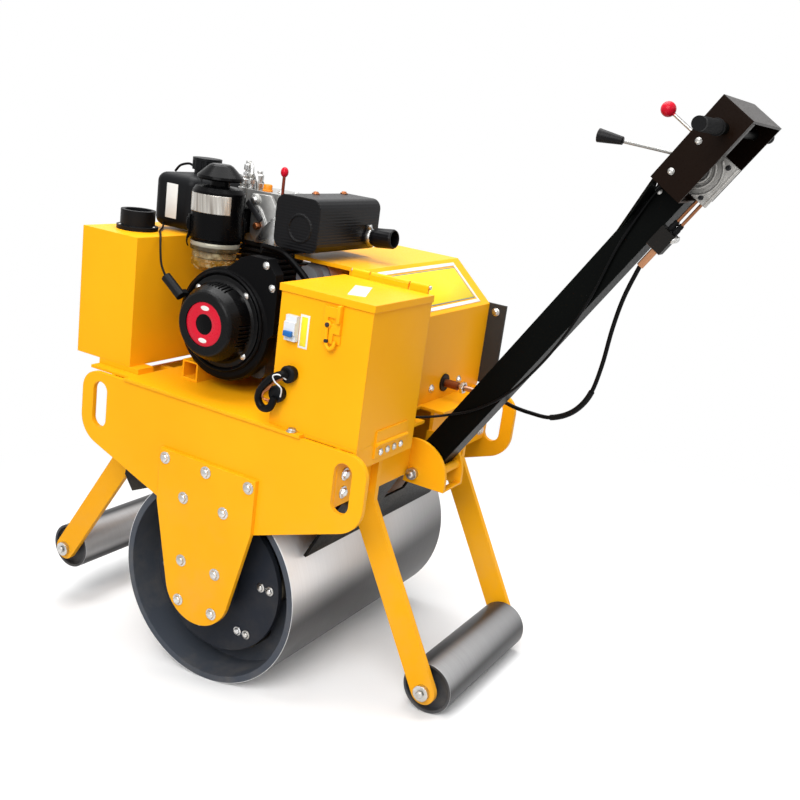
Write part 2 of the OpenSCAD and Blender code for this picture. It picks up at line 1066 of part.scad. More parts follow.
module fan_shroud() {
  w = shroud_y1 - shroud_y0;
  color(black)
    stance()
      translate([crank_x, shroud_y0, crank_z]) {
        translate([0, 0, -shroud_low])
          about_y()
            polygon([
              [0, 0], [shroud_r, 0], [shroud_r, w - shroud_edge],
              [shroud_r - shroud_edge * 0.3, w - shroud_edge * 0.3], [shroud_r - shroud_edge, w], [0, w]
            ]);
        about_y()
          polygon([
            [ridge_r + 4, w - 1], [ridge_r + 3, w + ridge_h - 2], [ridge_r, w + ridge_h],
            [ridge_r - 3, w + ridge_h - 2],
            [ridge_r - 4, w - 1]
          ]);
        across(0, w - 2)
          polygon([
            [-duct_w, 0], [-duct_w, duct_h - 62], [-duct_w + 8, duct_h - 26], [-duct_w + 30, duct_h],
            [-52, duct_h], [-30, duct_h - 8], [shroud_r * 0.1, shroud_r * 0.86], [shroud_r * 0.4, -20],
            [-shroud_r * 0.9, -20]
          ]);
      }
}

louvre_groups = 4;
louvre_count = 6;
louvre_pitch = 8;
louvre_w = 3.6;
louvre_turn = 98;

module recoil_starter() {
  d = recoil_depth;
  wall_r = recoil_r - 12;
  color(black)
    stance()
      translate([crank_x, shroud_y1, crank_z])
        difference() {
          about_y()
            polygon([
              [0, 0], [recoil_r, 0], [recoil_r, d * 0.08], [wall_r + 4, d * 0.1], [wall_r, d * 0.16],
              [wall_r - 4, d * 0.6], [recoil_face_r + 3, d * 0.9], [recoil_face_r, d * 0.97],
              [recoil_face_r - 3, d], [badge_r, d], [badge_r, d - 3], [0, d - 3]
            ]);
          for (k = [0:louvre_groups - 1], i = [0:louvre_count - 1])
            rotate([0, -louvre_turn - k * 360 / louvre_groups, 0])
              translate([wall_r - 18, d * 0.2, (i - (louvre_count - 1) / 2) * louvre_pitch - louvre_w / 2])
                cube([30, d * 0.46, louvre_w]);
        }
}

badge_r = 44;
grip_r = 10;
grip_at = [crank_x + 84, crank_z + 35];
pull_l = 52;
pull_tilt = 54;
pull_out = 28;

module recoil_grip() {
  color(black)
    stance()
      translate([grip_at[0], shroud_y1 + pull_out, grip_at[1]])
        rotate([0, pull_tilt, 0]) {
          cylinder(r = grip_r, h = pull_l);
          translate([-grip_r / 2, ridge_h + seat - pull_out, 2])
            cube([grip_r, pull_out - ridge_h - seat, grip_r]);
        }
}

// Air cleaner on the cylinder head, with the clear bowl under it

can_x = cyl_x + 42;
can_out = 27;
can_y = cyl_y + cyl_d / 2 + can_r + can_out;
can_z = cyl_top + 1;

cap_r = 46.5;
neck_r = 20;
cap_gap = 17;
cap_h = 28;

module air_cleaner() {
  color(black)
    stance()
      translate([can_x, can_y, can_z]) {
        rotate_extrude()
          polygon([
            [0, 0], [can_r - 3, 0], [can_r - 3, 4], [can_r, 7], [can_r, can_h - 8],
            [can_r - 6, can_h], [neck_r, can_h + 3], [neck_r, can_h + cap_gap],
            [cap_r - 4, can_h + cap_gap - 3], [cap_r, can_h + cap_gap],
            [cap_r - 1, can_h + cap_gap + 5], [cap_r * 0.52, can_h + cap_gap + cap_h - 3],
            [cap_r * 0.4, can_h + cap_gap + cap_h], [0, can_h + cap_gap + cap_h]
          ]);
        translate([-24, -can_r - can_out, 18])
          cube([44, can_r, 50]);
      }
}

bowl_h = 58;
bowl_r = can_r - 8;

module air_bowl() {
  color("#b08a3c")
    stance()
      translate([can_x, can_y, can_z - bowl_h])
        rotate_extrude()
          polygon([
            [0, 0], [bowl_r - 8, 0], [bowl_r, 9], [bowl_r, 20], [bowl_r - 2, 22],
            [bowl_r - 2, 25], [bowl_r, 27], [bowl_r, bowl_h - 19], [bowl_r + 5, bowl_h - 17],
            [bowl_r + 5, bowl_h], [0, bowl_h]
          ]);
}

// Fuel tank and its cap

fuel_z = tank_z + tank_h + 6;
fuel_r = 20;

module fuel_tank() {
  color(black)
    stance()
      hull()
        for (x = [fuel_r, fuel_w - fuel_r], y = [fuel_r, fuel_l - fuel_r], z = [fuel_r, fuel_h - fuel_r])
          translate([fuel_x + x, fuel_y1 - y, fuel_z + z])
            sphere(r = fuel_r, $fn = 36);
}

fuel_cap_r = 31;
fuel_cap_notches = 16;

module fuel_cap() {
  color(black)
    stance()
      translate([fuel_x + fuel_w / 2, fuel_y1 - 100, fuel_z + fuel_h]) {
        cylinder(r = fuel_cap_r - 5, h = 10);
        translate([0, 0, 9])
          difference() {
            cylinder(r = fuel_cap_r, h = 25);
            for (i = [0:fuel_cap_notches - 1])
              rotate([0, 0, i * 360 / fuel_cap_notches])
                translate([fuel_cap_r + 2, 0, -1])
                  cylinder(r = 4, h = 20, $fn = 24);
          }
      }
}

// Muffler on the cylinder head, with its tail pipe

muffler_x = cyl_x - cyl_w / 2 - 85;
muffler_z = cyl_top + 68;
muffler_y1 = 140;
muffler_t = 3;
tail_y = -40;
tail_r = 20;
tail_l = 68;
emboss_r = 26;
muffler_edge = 20;

module on_tail() {
  translate([muffler_x - muffler_s / 2 + 2, tail_y, muffler_z - 24])
    rotate([0, -84, 0])
      children();
}

module muffler() {
  color(black)
    stance() {
      difference() {
        union() {
          across(muffler_y1 - muffler_l, muffler_y1)
            translate([muffler_x, muffler_z])
              round_square(muffler_s, muffler_s, muffler_edge);
          on_tail()
            rotate_extrude()
              polygon([
                [0, 0], [tail_r - 5, 0], [tail_r - 5, 14], [tail_r, 26], [tail_r, tail_l - 4],
                [tail_r - 2, tail_l], [0, tail_l]
              ]);
          translate([muffler_x - 8, 0, muffler_z - 8])
            about_y()
              translate([emboss_r - 2, muffler_y1 - eps])
                square([4, 2]);
        }
        across(muffler_y1 - muffler_l + muffler_t, muffler_y1 - muffler_t)
          translate([muffler_x, muffler_z])
            round_square(muffler_s - 2 * muffler_t, muffler_s - 2 * muffler_t, muffler_edge - muffler_t);
        on_tail()
          translate([0, 0, 6])
            cylinder(r = tail_r - 8, h = tail_l);
        on_tail()
          translate([0, 0, 30])
            cylinder(r = tail_r - 3, h = tail_l);
      }
      translate([muffler_x + muffler_s / 2 - 1, cyl_y, muffler_z - 24])
        rotate([0, 90, 0])
          cylinder(r = 18, h = cyl_x - cyl_w / 2 - muffler_x - muffler_s / 2 + 1);
    }
}

starter_x = case_x0 - 2;
starter_r = 33;

starter_l = 200;
starter_y0 = -100;
starter_up = 10;

module starter_motor() {
  color(dark_grey)
    stance()
      translate([starter_x, starter_y0, case_top + starter_r + starter_up]) {
        about_y()
          polygon([
            [0, 0], [starter_r - 14, 0], [starter_r - 14, 32], [starter_r - 4, 36],
            [starter_r - 4, 74], [starter_r, 76], [starter_r, starter_l - 34],
            [starter_r - 7, starter_l - 24], [starter_r - 7, starter_l], [0, starter_l]
          ]);
        translate([3, starter_l / 4, -starter_r - starter_up])
          cube([starter_r * 0.6, starter_l * 0.44, starter_r + starter_up / 2]);
      }
}

stem_h = 40;
knob_r = 8;

module decompressor() {
  color(red)
    stance()
      translate([cyl_x - cyl_w / 2 + 22, cyl_y + 40, head_top + cover_h - 2 * eps]) {
        cylinder(r = knob_r * 0.4, h = stem_h);
        translate([0, 0, stem_h + knob_r * 0.7])
          scale([1, 1, 1.3])
            sphere(r = knob_r, $fn = 32);
      }
}

// Handle arm, its control head and grips

arm_wall = 4;
brace_t = 4;
brace_w = 28;
brace_l = 120;

// Flat gusset from the arm's front face out to a lower corner of the control head
module arm_brace() {
  reach = head_w / 2 + head_shift - 8;
  translate([arm_d / 2 - brace_t, 0, 0])
    rotate([90, 0, 90])
      linear_extrude(brace_t)
        difference() {
          polygon([[arm_w / 2 - 1, arm_l - brace_l], [reach, arm_l], [arm_w / 2 - 1, arm_l]]);
          polygon([
            [arm_w / 2 + 2, arm_l - brace_w], [reach - brace_w, arm_l - 4],
            [reach - brace_w - 12, arm_l - 4], [arm_w / 2 + 2, arm_l - brace_w + 12]
          ]);
        }
}

module handle_arm() {
  color(black)
    on_arm() {
      both_sides()
        arm_brace();
      difference() {
        union() {
          across(-arm_w / 2, arm_w / 2) {
            circle(arm_d / 2);
            translate([-arm_d / 2, 0])
              square([arm_d, arm_l]);
          }
          cross_rod(18, -clevis_in + 0.4, clevis_in - 0.4);
        }
        translate([-arm_d / 2 + arm_wall, -arm_w / 2 + arm_wall, arm_d])
          cube([arm_d - 2 * arm_wall, arm_w - 2 * arm_wall, arm_l]);
        cross_rod(pin_d / 2 + run, -clevis_out, clevis_out);
      }
    }
}

head_v1 = head_v0 + head_d;
head_shift = -12;
bar_u = arm_l + 128;
bar_v = -6;

module control_head() {
  color(black)
    on_arm()
      difference() {
        translate([head_v0, -head_w / 2 + head_shift, arm_l])
          cube([head_d, head_w, head_l]);
        translate([head_v0 - head_sheet, -head_w / 2 + head_shift + head_sheet, arm_l + head_sheet])
          cube([head_d, head_w - 2 * head_sheet, head_l - 2 * head_sheet]);
        translate([bar_v, 0, bar_u])
          cross_rod(grip_d / 2 + seat, -head_w, head_w);
      }
}

grip_sleeve = 2;
grip_start = head_w / 2 + 30;

module grip_bar() {
  color(dark_grey)
    on_arm()
      translate([bar_v, 0, bar_u])
        cross_rod(grip_d / 2, -grip_l / 2 + 4, grip_l / 2 - 4);
}

module grips() {
  color(rubber)
    on_arm()
      translate([bar_v, 0, bar_u])
        both_sides()
          difference() {
            cross_rod(grip_d / 2 + grip_sleeve, grip_start, grip_l / 2);
            cross_rod(grip_d / 2 + run, grip_start - 1, grip_l / 2 - 4);
          }
}

lever_y = 40;
lever_boss_r = 12;
lever_boss_h = 8;
lever_rod_r = 4;
lever_l = 100;
lever_turn = 118;
lever_knob_l = 44;

module drive_lever() {
  color(black)
    on_arm()
      translate([head_v1, lever_y, arm_l + head_l * 0.27]) {
        rotate([0, 90, 0])
          cylinder(r = lever_boss_r, h = lever_boss_h);
        translate([lever_boss_h * 0.75, 0, 0])
          rotate([0, lever_turn, 0]) {
            cylinder(r = lever_rod_r, h = lever_l);
            translate([0, 0, lever_l - 4])
              cylinder(r1 = lever_rod_r + 3, r2 = lever_boss_r, h = lever_knob_l);
          }
      }
}

ball_r = 13.5;
throttle_l = 82;

module throttle_lever() {
  color(red)
    on_arm()
      translate([head_v1, -lever_y, arm_l + head_l * 0.455])
        rotate([0, 90, 0]) {
          cylinder(r = lever_boss_r, h = lever_boss_h);
          cylinder(r = lever_rod_r - 1, h = throttle_l);
          translate([0, 0, throttle_l + ball_r * 0.44])
            sphere(r = ball_r, $fn = 40);
        }
}

plate_y = 22;
plate_u = arm_l + 10;
plate_l = 80;
plate_back = 58;

module lever_plate() {
  color(zinc)
    on_arm()
      translate([-plate_back, plate_y, plate_u])
        cube([plate_back + head_v1 - head_sheet, 8, plate_l]);
}

clamp_u = arm_l - 96;
clamp_v = -45;
ferrule_l = 38;

module cable_clamp() {
  color(copper)
    on_arm() {
      translate([-arm_d / 2 - 30, plate_y - 8, clamp_u])
        cube([30, 24, 40]);
      for (v = [clamp_v - 5, clamp_v + 5])
        translate([v, plate_y + 4, clamp_u + 39])
          cylinder(r = 3, h = plate_u - clamp_u - 39);
      translate([clamp_v, plate_y + 4, clamp_u - ferrule_l])
        cylinder(r = 6.5, h = ferrule_l + 1);
    }
}

// Cables: round tubes swept along chosen points

function join(a, b, c, d, t) = 0.5 * (2 * b + (c - a) * t + (2 * a - 5 * b + 4 * c - d) * t * t
  + (3 * b - a - 3 * c + d) * t * t * t);
function route(p, n) = concat(
  [for (i = [0:len(p) - 2], k = [0:n - 1])
    join(p[max(i - 1, 0)], p[i], p[i + 1], p[min(i + 2, len(p) - 1)], k / n)],
  [p[len(p) - 1]]
);
function unit(a) = a / norm(a);
function heading(q, i) = unit(q[min(i + 1, len(q) - 1)] - q[max(i - 1, 0)]);

module tube(p, r, n, sides) {
  q = route(p, n);
  last = len(q) - 1;
  points = [
    for (i = [0:last], k = [0:sides - 1])
      let (t = heading(q, i), a = unit(cross(t, [0, 1, 0])), b = cross(t, a))
        q[i] + r * (cos(k * 360 / sides) * a + sin(k * 360 / sides) * b)
  ];
  skin = [
    for (i = [0:last - 1], k = [0:sides - 1])
      let (m = (k + 1) % sides)
        [i * sides + k, i * sides + m, (i + 1) * sides + m, (i + 1) * sides + k]
  ];
  ends = [
    [for (k = [sides - 1:-1:0]) k],
    [for (k = [0:sides - 1]) last * sides + k]
  ];
  polyhedron(points = points, faces = concat(skin, ends));
}

gland_end = [-hood_rear - gland_l, gland_y, gland_z];
ferrule_xz = arm_point(clamp_v, clamp_u - ferrule_l);
ferrule_end = [ferrule_xz[0], plate_y + 4, ferrule_xz[1]];
control_route = [
  gland_end - [0.3, 0, 0], [-346, -141, 617], [-380, -122, 620], [-408, -93, 625],
  [-440, -68, 628], [-480, -53, 630], [-528, -40, 636], [-572, -30, 661], [-602, -20, 703], [-618, -8, 765], [-628, 4, 840], [-641, 15, 902],
  ferrule_end + [0.5, 0, -1.6]
];
throttle_y = 36;
head_under = arm_point(20, arm_l - 0.8);
throttle_route = [
  [head_under[0], throttle_y, head_under[1]], [-655.7, throttle_y, 1070.9], [-619, 35, 989], [-588, 35, 893],
  [-550, 35, 808], [-511, 35, 742], [-462, 35, 680], [-404, 36, 634], [-350, 40, 609],
  [-306, 58, 596], [-262, 88, 592], [-200, 95, 592], [-110, 95, 604], [-66, 95, 640],
  [-44, 95, 650], [case_x0 - 0.4, 95, 650]
];

module control_cable() {
  color(black)
    stance()
      tube(control_route, 5, 3, 10);
}

module throttle_cable() {
  color(black)
    stance()
      tube(throttle_route, 2.5, 3, 8);
}

side_plates();
hanger_plates();
deck();
cross_plates();
handle_clevis();
pivot_pin();
drum_hubs();
leg_brackets();
front_legs();
rear_legs();
roller_axles();
scrapers();
drum_shell();
hub_discs();
drum_buffers();
front_roller();
rear_roller();
front_tank();
tank_feet();
tank_filler();
battery_box();
battery();
box_hinge();
breaker();
connectors();
battery_lid();
lid_latch();
hood();
hood_side_plate();
pump_block();
cable_gland();
engine_rails();
crankcase();
engine_cylinder();
fan_shroud();
recoil_starter();
recoil_grip();
air_cleaner();
air_bowl();
fuel_tank();
fuel_cap();
muffler();
starter_motor();
decompressor();
handle_arm();
control_head();
grip_bar();
grips();
drive_lever();
throttle_lever();
lever_plate();
cable_clamp();
control_cable();
throttle_cable();
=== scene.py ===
import math

import bmesh
import bpy
from mathutils import Matrix, Vector


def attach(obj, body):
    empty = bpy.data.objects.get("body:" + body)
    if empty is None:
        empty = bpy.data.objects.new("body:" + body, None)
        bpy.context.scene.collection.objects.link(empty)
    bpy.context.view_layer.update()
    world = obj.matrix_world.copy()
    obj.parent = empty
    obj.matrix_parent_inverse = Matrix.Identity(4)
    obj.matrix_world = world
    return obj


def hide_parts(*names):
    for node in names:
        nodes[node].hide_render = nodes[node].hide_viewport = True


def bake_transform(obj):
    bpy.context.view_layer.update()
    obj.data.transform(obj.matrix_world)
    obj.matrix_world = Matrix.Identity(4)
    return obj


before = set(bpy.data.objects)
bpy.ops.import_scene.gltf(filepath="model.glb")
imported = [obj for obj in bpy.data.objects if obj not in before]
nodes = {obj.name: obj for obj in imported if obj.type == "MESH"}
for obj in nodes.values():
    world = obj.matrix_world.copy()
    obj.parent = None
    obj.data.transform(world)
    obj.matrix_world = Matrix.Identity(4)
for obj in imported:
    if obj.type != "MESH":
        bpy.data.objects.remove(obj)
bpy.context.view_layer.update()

# The machine is described with its deck level, in millimetres: the drum axis over the
# origin, +X forward, +Y left. STANCE leans it back the way it parks, and ARM is the
# handle's own frame: X forward of the arm, Z along it, origin at the pivot.
DRUM_R = 212.5
LEAN = math.radians(7.043862)
SHIFT_X = 174.956893
PIVOT = Vector((-292.0, 0.0, 470.0))
ARM_ANGLE = math.radians(57.3)
MM = Matrix.Scale(0.001, 4)
STANCE = (
    MM
    @ Matrix.Translation((SHIFT_X, 0, DRUM_R))
    @ Matrix.Rotation(-LEAN, 4, "Y")
    @ Matrix.Translation((0, 0, -DRUM_R))
)
ON_ARM = Matrix.Translation(PIVOT) @ Matrix.Rotation(ARM_ANGLE - math.pi / 2, 4, "Y")
ARM = STANCE @ ON_ARM
HERE = Matrix.Identity(4)

# Sizes that the details share with the solids, in millimetres
HANGER_Y = 330.0
CROSS_X = 279.0
CLEVIS_Y = 33.0
SCRAPER_Y = 250.0
DECK_Z = 584.0
BOX_REAR, BOX_Y = -312.0, 308.0
LID_Z = 845.3
HINGE_Y, HINGE_Z = 99.0, 856.0
HOOD_REAR, HOOD_BEND, HOOD_TOP, HOOD_LIP = -240.0, -144.0, 858.0, 773.0
GLAND_Y, GLAND_Z = -142.0, 617.0
CRANK = Vector((70.0, 234.0, 725.0))
RECOIL_FACE_Y = 287.0
CAN = Vector((174.0, 149.0, 860.0))
CAN_R = 53.0
BOWL_R, BOWL_H = 45.0, 58.0
FUEL_NEAR_Y = 140.0
FILLER = Vector((339.0, 200.0, 865.0))
MUFFLER = Vector((-15.0, 31.0, 927.0))
MUFFLER_HALF = 52.0
HEAD_NEAR_Y, HEAD_FAR_Y = 100.0, -124.0
HEAD_FRONT = 30.0
ENGINE_TOP = 965.0
PLATE_Y = 30.0
CLAMP_V, CLAMP_Y = -45.0, 26.0
ROD_PLACES = (-50, -40)
GRIP_V, GRIP_U = -6.0, 876.0
DRUM_AXLE = Vector((0.0, 0.0, DRUM_R))
FRONT_AXLE = Vector((516.0, 0.0, 72.0))
REAR_AXLE = Vector((-455.0, 0.0, 107.0))
HUB_FACE_Y, NUT_CIRCLE, NUT_PHASE = 268.0, 123.0, 8
SMOOTH_ANGLE = math.radians(38)
X, Y, Z = Vector((1, 0, 0)), Vector((0, 1, 0)), Vector((0, 0, 1))


# Camera

def add_camera():
    lens = bpy.data.cameras.new("camera")
    lens.sensor_width = 36.0
    lens.lens = 45.95
    lens.clip_start = 0.05
    eye = bpy.data.objects.new("camera", lens)
    right = Vector((-0.8535, -0.504, 0.1325))
    up = Vector((0.2511, -0.175, 0.952))
    ahead = Vector((0.4567, -0.8458, -0.2759))
    turn = Matrix((right, up, -ahead)).transposed().to_4x4()
    place = STANCE @ Vector((-1171.3, 1767.3, 1173.5))
    eye.matrix_world = Matrix.Translation(place) @ Matrix.Rotation(-LEAN, 4, "Y") @ turn
    bpy.context.scene.collection.objects.link(eye)
    bpy.context.scene.camera = eye


# Node trees: sockets given as values are set, sockets given as sockets are linked

def node(tree, kind, inputs=None, **settings):
    made = tree.nodes.new("ShaderNode" + kind)
    for key, value in settings.items():
        setattr(made, key, value)
    for key, value in (inputs or {}).items():
        if isinstance(value, bpy.types.NodeSocket):
            tree.links.new(value, made.inputs[key])
        else:
            made.inputs[key].default_value = value
    return made


def calc(tree, operation, *values):
    return node(tree, "Math", dict(enumerate(values)), operation=operation).outputs[0]


def vector_calc(tree, operation, *values):
    made = node(tree, "VectorMath", dict(enumerate(values)), operation=operation)
    return made.outputs["Value" if operation in ("DOT_PRODUCT", "LENGTH") else "Vector"]


def blend_colour(tree, factor, first, second):
    made = node(tree, "Mix", {0: factor, 6: first, 7: second}, data_type="RGBA")
    return made.outputs[2]


def ramp(tree, value, low, high, start=0.0, end=1.0):
    inputs = {"Value": value, "From Min": low, "From Max": high, "To Min": start, "To Max": end}
    return node(tree, "MapRange", inputs, interpolation_type="SMOOTHSTEP").outputs[0]


def noise(tree, vector, scale, detail, roughness=0.55):
    inputs = {"Vector": vector, "Scale": scale, "Detail": detail, "Roughness": roughness}
    return node(tree, "TexNoise", inputs).outputs[0]


def linear(red, green, blue):
    """Colour written in the 0 to 255 of a picture, as the light it stands for."""
    return tuple((c / 255) ** 2.2 for c in (red, green, blue)) + (1.0,)


SOCKETS = {"float": "NodeSocketFloat", "vector": "NodeSocketVector", "colour": "NodeSocketColor"}


def effect(name, inputs, outputs, build):
    """Shared node group: build(tree, inputs, coordinates) returns its output sockets."""
    tree = bpy.data.node_groups.new(name, "ShaderNodeTree")
    for label, (kind, value) in inputs.items():
        socket = tree.interface.new_socket(label, in_out="INPUT", socket_type=SOCKETS[kind])
        socket.default_value = value
    for label, kind in outputs.items():
        tree.interface.new_socket(label, in_out="OUTPUT", socket_type=SOCKETS[kind])
    given = tree.nodes.new("NodeGroupInput")
    result = tree.nodes.new("NodeGroupOutput")
    place = tree.nodes.new("ShaderNodeTexCoord").outputs["Object"]
    for label, socket in build(tree, given.outputs, place).items():
        tree.links.new(socket, result.inputs[label])
    return tree


def build_weather(tree, given, place):
    broad = noise(tree, place, given["Broad Scale"], 4.0)
    fine = noise(tree, place, given["Fine Scale"], 2.0)
    height = node(tree, "SeparateXYZ", {0: place}).outputs["Z"]
    low = ramp(tree, height, 0.55, 0.0)
    patches = ramp(tree, noise(tree, place, 9.0, 5.0, 0.65), 0.42, 0.72)
    return {"Broad": broad, "Fine": fine, "Dust": calc(tree, "MULTIPLY", low, patches)}


def build_edges(tree, given, place):
    bevel = node(tree, "Bevel", {"Radius": given["Radius"]}, samples=4)
    flat = node(tree, "NewGeometry").outputs["Normal"]
    turn = vector_calc(tree, "DOT_PRODUCT", bevel.outputs[0], flat)
    chips = ramp(tree, noise(tree, place, 70.0, 4.0, 0.7), 0.35, 0.65)
    edge = ramp(tree, turn, 0.995, 0.90)
    return {"Edge": calc(tree, "MULTIPLY", edge, chips), "Normal": bevel.outputs[0]}


def build_turned(tree, given, place):
    stretched = node(tree, "Mapping", {"Vector": place, "Scale": given["Stretch"]}).outputs[0]
    return {"Streak": noise(tree, stretched, 1.0, 3.0, 0.7)}


def build_axle(tree, given, place):
    offset = vector_calc(tree, "SUBTRACT", place, given["Centre"])
    radial = vector_calc(tree, "MULTIPLY", offset, (1.0, 0.0, 1.0))
    return {"Radius": vector_calc(tree, "LENGTH", radial)}


def build_span(tree, given, place):
    offset = vector_calc(tree, "SUBTRACT", place, given["Origin"])
    return {"Distance": vector_calc(tree, "DOT_PRODUCT", offset, given["Direction"])}


WEATHER = effect(
    "weather", {"Broad Scale": ("float", 3.0), "Fine Scale": ("float", 260.0)},
    {"Broad": "float", "Fine": "float", "Dust": "float"}, build_weather)
EDGES = effect(
    "edges", {"Radius": ("float", 0.0025)}, {"Edge": "float", "Normal": "vector"}, build_edges)
TURNED = effect(
    "turned", {"Stretch": ("vector", (3.0, 3.0, 3.0))}, {"Streak": "float"}, build_turned)
AXLE = effect(
    "axle", {"Centre": ("vector", (0.0, 0.0, 0.0))}, {"Radius": "float"}, build_axle)
SPAN = effect(
    "span", {"Origin": ("vector", (0.0, 0.0, 0.0)), "Direction": ("vector", (0.0, 0.0, 1.0))},
    {"Distance": "float"}, build_span)


class Finish:
    """One material: a Principled shader with the shared effects at hand."""

    def __init__(self, name, edge_radius=0.002, broad=3.0, fine=260.0):
        self.material = bpy.data.materials.new(name)
        self.material.use_nodes = True
        self.tree = self.material.node_tree
        self.shader = self.tree.nodes["Principled BSDF"]
        weather = self.group(WEATHER, {"Broad Scale": broad, "Fine Scale": fine})
        self.broad, self.fine, self.dust = weather.outputs
        edges = self.group(EDGES, {"Radius": edge_radius})
        self.edge, self.normal = edges.outputs

    def group(self, effect_tree, inputs=None):
        made = node(self.tree, "Group", node_tree=effect_tree)
        for key, value in (inputs or {}).items():
            made.inputs[key].default_value = value
        return made

    def along(self, origin, towards):
        """Distance in metres from a place of the machine, along a direction of it."""
        inputs = {"Origin": STANCE @ Vector(origin),
                  "Direction": (STANCE.to_3x3() @ Vector(towards)).normalized()}
        return self.group(SPAN, inputs).outputs[0]

    def radius(self, centre):
        """Distance in metres from an axle of the machine."""
        return self.group(AXLE, {"Centre": STANCE @ Vector(centre)}).outputs[0]

    def mix(self, factor, first, second):
        return blend_colour(self.tree, factor, first, second)

    def scaled(self, value, low, high):
        return ramp(self.tree, value, 0.2, 0.8, low, high)

    def times(self, value, factor):
        return calc(self.tree, "MULTIPLY", value, factor)

    def bump(self, height, strength, distance):
        inputs = {"Height": height, "Strength": strength, "Distance": distance,
                  "Normal": self.normal}
        self.normal = node(self.tree, "Bump", inputs).outputs[0]

    def set(self, **inputs):
        for key, value in inputs.items():
            socket = self.shader.inputs[key.replace("_", " ")]
            if isinstance(value, bpy.types.NodeSocket):
                self.tree.links.new(value, socket)
            else:
                socket.default_value = value

    def done(self):
        self.set(Normal=self.normal)
        return self.material


DUST = linear(176, 162, 138)


def paint(name, colour, shade, worn, rough, shine, dust=0.2):
    """Painted metal in two close tones, with chipped edges and dust low down."""
    look = Finish(name)
    base = look.mix(look.scaled(look.broad, 0.0, 1.0), colour, shade)
    base = look.mix(look.times(look.edge, 0.4), base, worn)
    base = look.mix(look.times(look.dust, dust), base, DUST)
    look.bump(look.fine, 0.04, 0.0003)
    look.set(Base_Color=base, Specular_IOR_Level=shine,
             Roughness=look.scaled(look.fine, rough - 0.05, rough + 0.08))
    return look.done()


def metal(name, colour, shade, rough, stretch=(40.0, 40.0, 40.0), metallic=1.0, grain=0.08):
    """Bare or plated metal with streaks, which run along the axis of least stretch."""
    look = Finish(name)
    streak = look.group(TURNED, {"Stretch": stretch}).outputs[0]
    base = look.mix(look.scaled(streak, 0.0, 1.0), colour, shade)
    base = look.mix(look.times(look.dust, 0.3), base, DUST)
    look.bump(streak, grain, 0.0003)
    look.set(Base_Color=base, Metallic=metallic,
             Roughness=look.scaled(streak, rough - 0.08, rough + 0.12))
    return look.done()


def moulded(name, colour, shade, rough, grain, shine=0.3):
    """Plastic or rubber with a fine grain."""
    look = Finish(name, 0.0015, 6.0, 420.0)
    base = look.mix(look.scaled(look.broad, 0.0, 1.0), colour, shade)
    base = look.mix(look.times(look.dust, 0.3), base, DUST)
    look.bump(look.fine, grain, 0.0003)
    look.set(Base_Color=base, Specular_IOR_Level=shine,
             Roughness=look.scaled(look.fine, rough - 0.07, rough + 0.1))
    return look.done()


def rolled_steel(name, centre, skin_r, inside, tone):
    """Bare rolled shell: turned metal outside skin_r, with painted shade that darkens it where
    it is seen at a slant, and dark paint and dirt inside it."""
    look = Finish(name, 0.003, 4.0, 300.0)
    radius = look.radius(centre)
    outside = ramp(look.tree, radius, skin_r - 0.0004, skin_r + 0.0004)
    streak = look.group(TURNED, {"Stretch": (2.0, 300.0, 2.0)}).outputs[0]
    skin = look.mix(look.scaled(streak, 0.0, 1.0), linear(tone, tone, tone + 1),
                    linear(tone - 8, tone - 8, tone - 7))
    stain = linear(tone - 32, tone - 33, tone - 34)
    skin = look.mix(look.scaled(look.broad, 0.0, 0.3), skin, stain)
    # Painted shade: the skin turns dark grey where the surface is seen at a slant, so the shell
    # shows a bright middle and dark edges
    grazing = node(look.tree, "LayerWeight", {"Blend": 0.5}).outputs["Facing"]
    skin = look.mix(ramp(look.tree, grazing, 0.37, 0.6, 0.0, 0.94), skin, linear(40, 40, 42))
    hollow = look.mix(look.scaled(look.broad, 0.0, 1.0), inside, linear(70, 74, 82))
    hollow = look.mix(look.times(look.dust, 0.12), hollow, DUST)
    look.bump(streak, 0.015, 0.0002)
    rough = look.scaled(streak, 0.36, 0.4)
    rough_inside = ramp(look.tree, outside, 0.0, 1.0, 0.5, 0.0)
    look.set(Base_Color=look.mix(outside, hollow, skin), Metallic=look.times(outside, 0.42),
             Specular_IOR_Level=0.15,
             Roughness=calc(look.tree, "MAXIMUM", rough, rough_inside))
    return look.done()


def banded(name, origin, towards, tones):
    """Finishes that follow each other along one solid: each tone is the distance in
    millimetres where it starts, its colour, roughness and metalness."""
    look = Finish(name, 0.0012, 6.0, 380.0)
    distance = look.along(origin, towards)
    _, colour, rough, metallic = tones[0]
    for start, next_colour, next_rough, next_metallic in tones[1:]:
        past = ramp(look.tree, distance, start / 1000 - 0.0005, start / 1000 + 0.0005)
        colour = look.mix(past, colour, next_colour)
        rough = ramp(look.tree, past, 0.0, 1.0, rough, next_rough)
        metallic = ramp(look.tree, past, 0.0, 1.0, metallic, next_metallic)
    colour = look.mix(look.scaled(look.broad, 0.0, 0.25), colour, linear(60, 56, 52))
    look.bump(look.fine, 0.05, 0.0003)
    look.set(Base_Color=colour, Metallic=metallic, Specular_IOR_Level=0.12,
             Roughness=calc(look.tree, "ADD", rough, look.scaled(look.fine, -0.05, 0.08)))
    return look.done()


def ribbed_paint(name):
    """Satin heat-proof black with the muffler's fine pressed ribs along it."""
    look = Finish(name, 0.004)
    height = look.along((0, 0, 0), Z)
    rib_pitch = 0.0058
    wave = calc(look.tree, "SINE", look.times(height, 2 * math.pi / rib_pitch))
    base = look.mix(look.scaled(look.broad, 0.0, 1.0), linear(22, 22, 24), linear(14, 14, 16))
    base = look.mix(look.times(look.edge, 0.3), base, linear(70, 70, 70))
    base = look.mix(look.times(look.dust, 0.2), base, DUST)
    look.bump(wave, 0.16, 0.001)
    look.set(Base_Color=base, Specular_IOR_Level=0.14,
             Roughness=look.scaled(look.fine, 0.3, 0.42))
    return look.done()


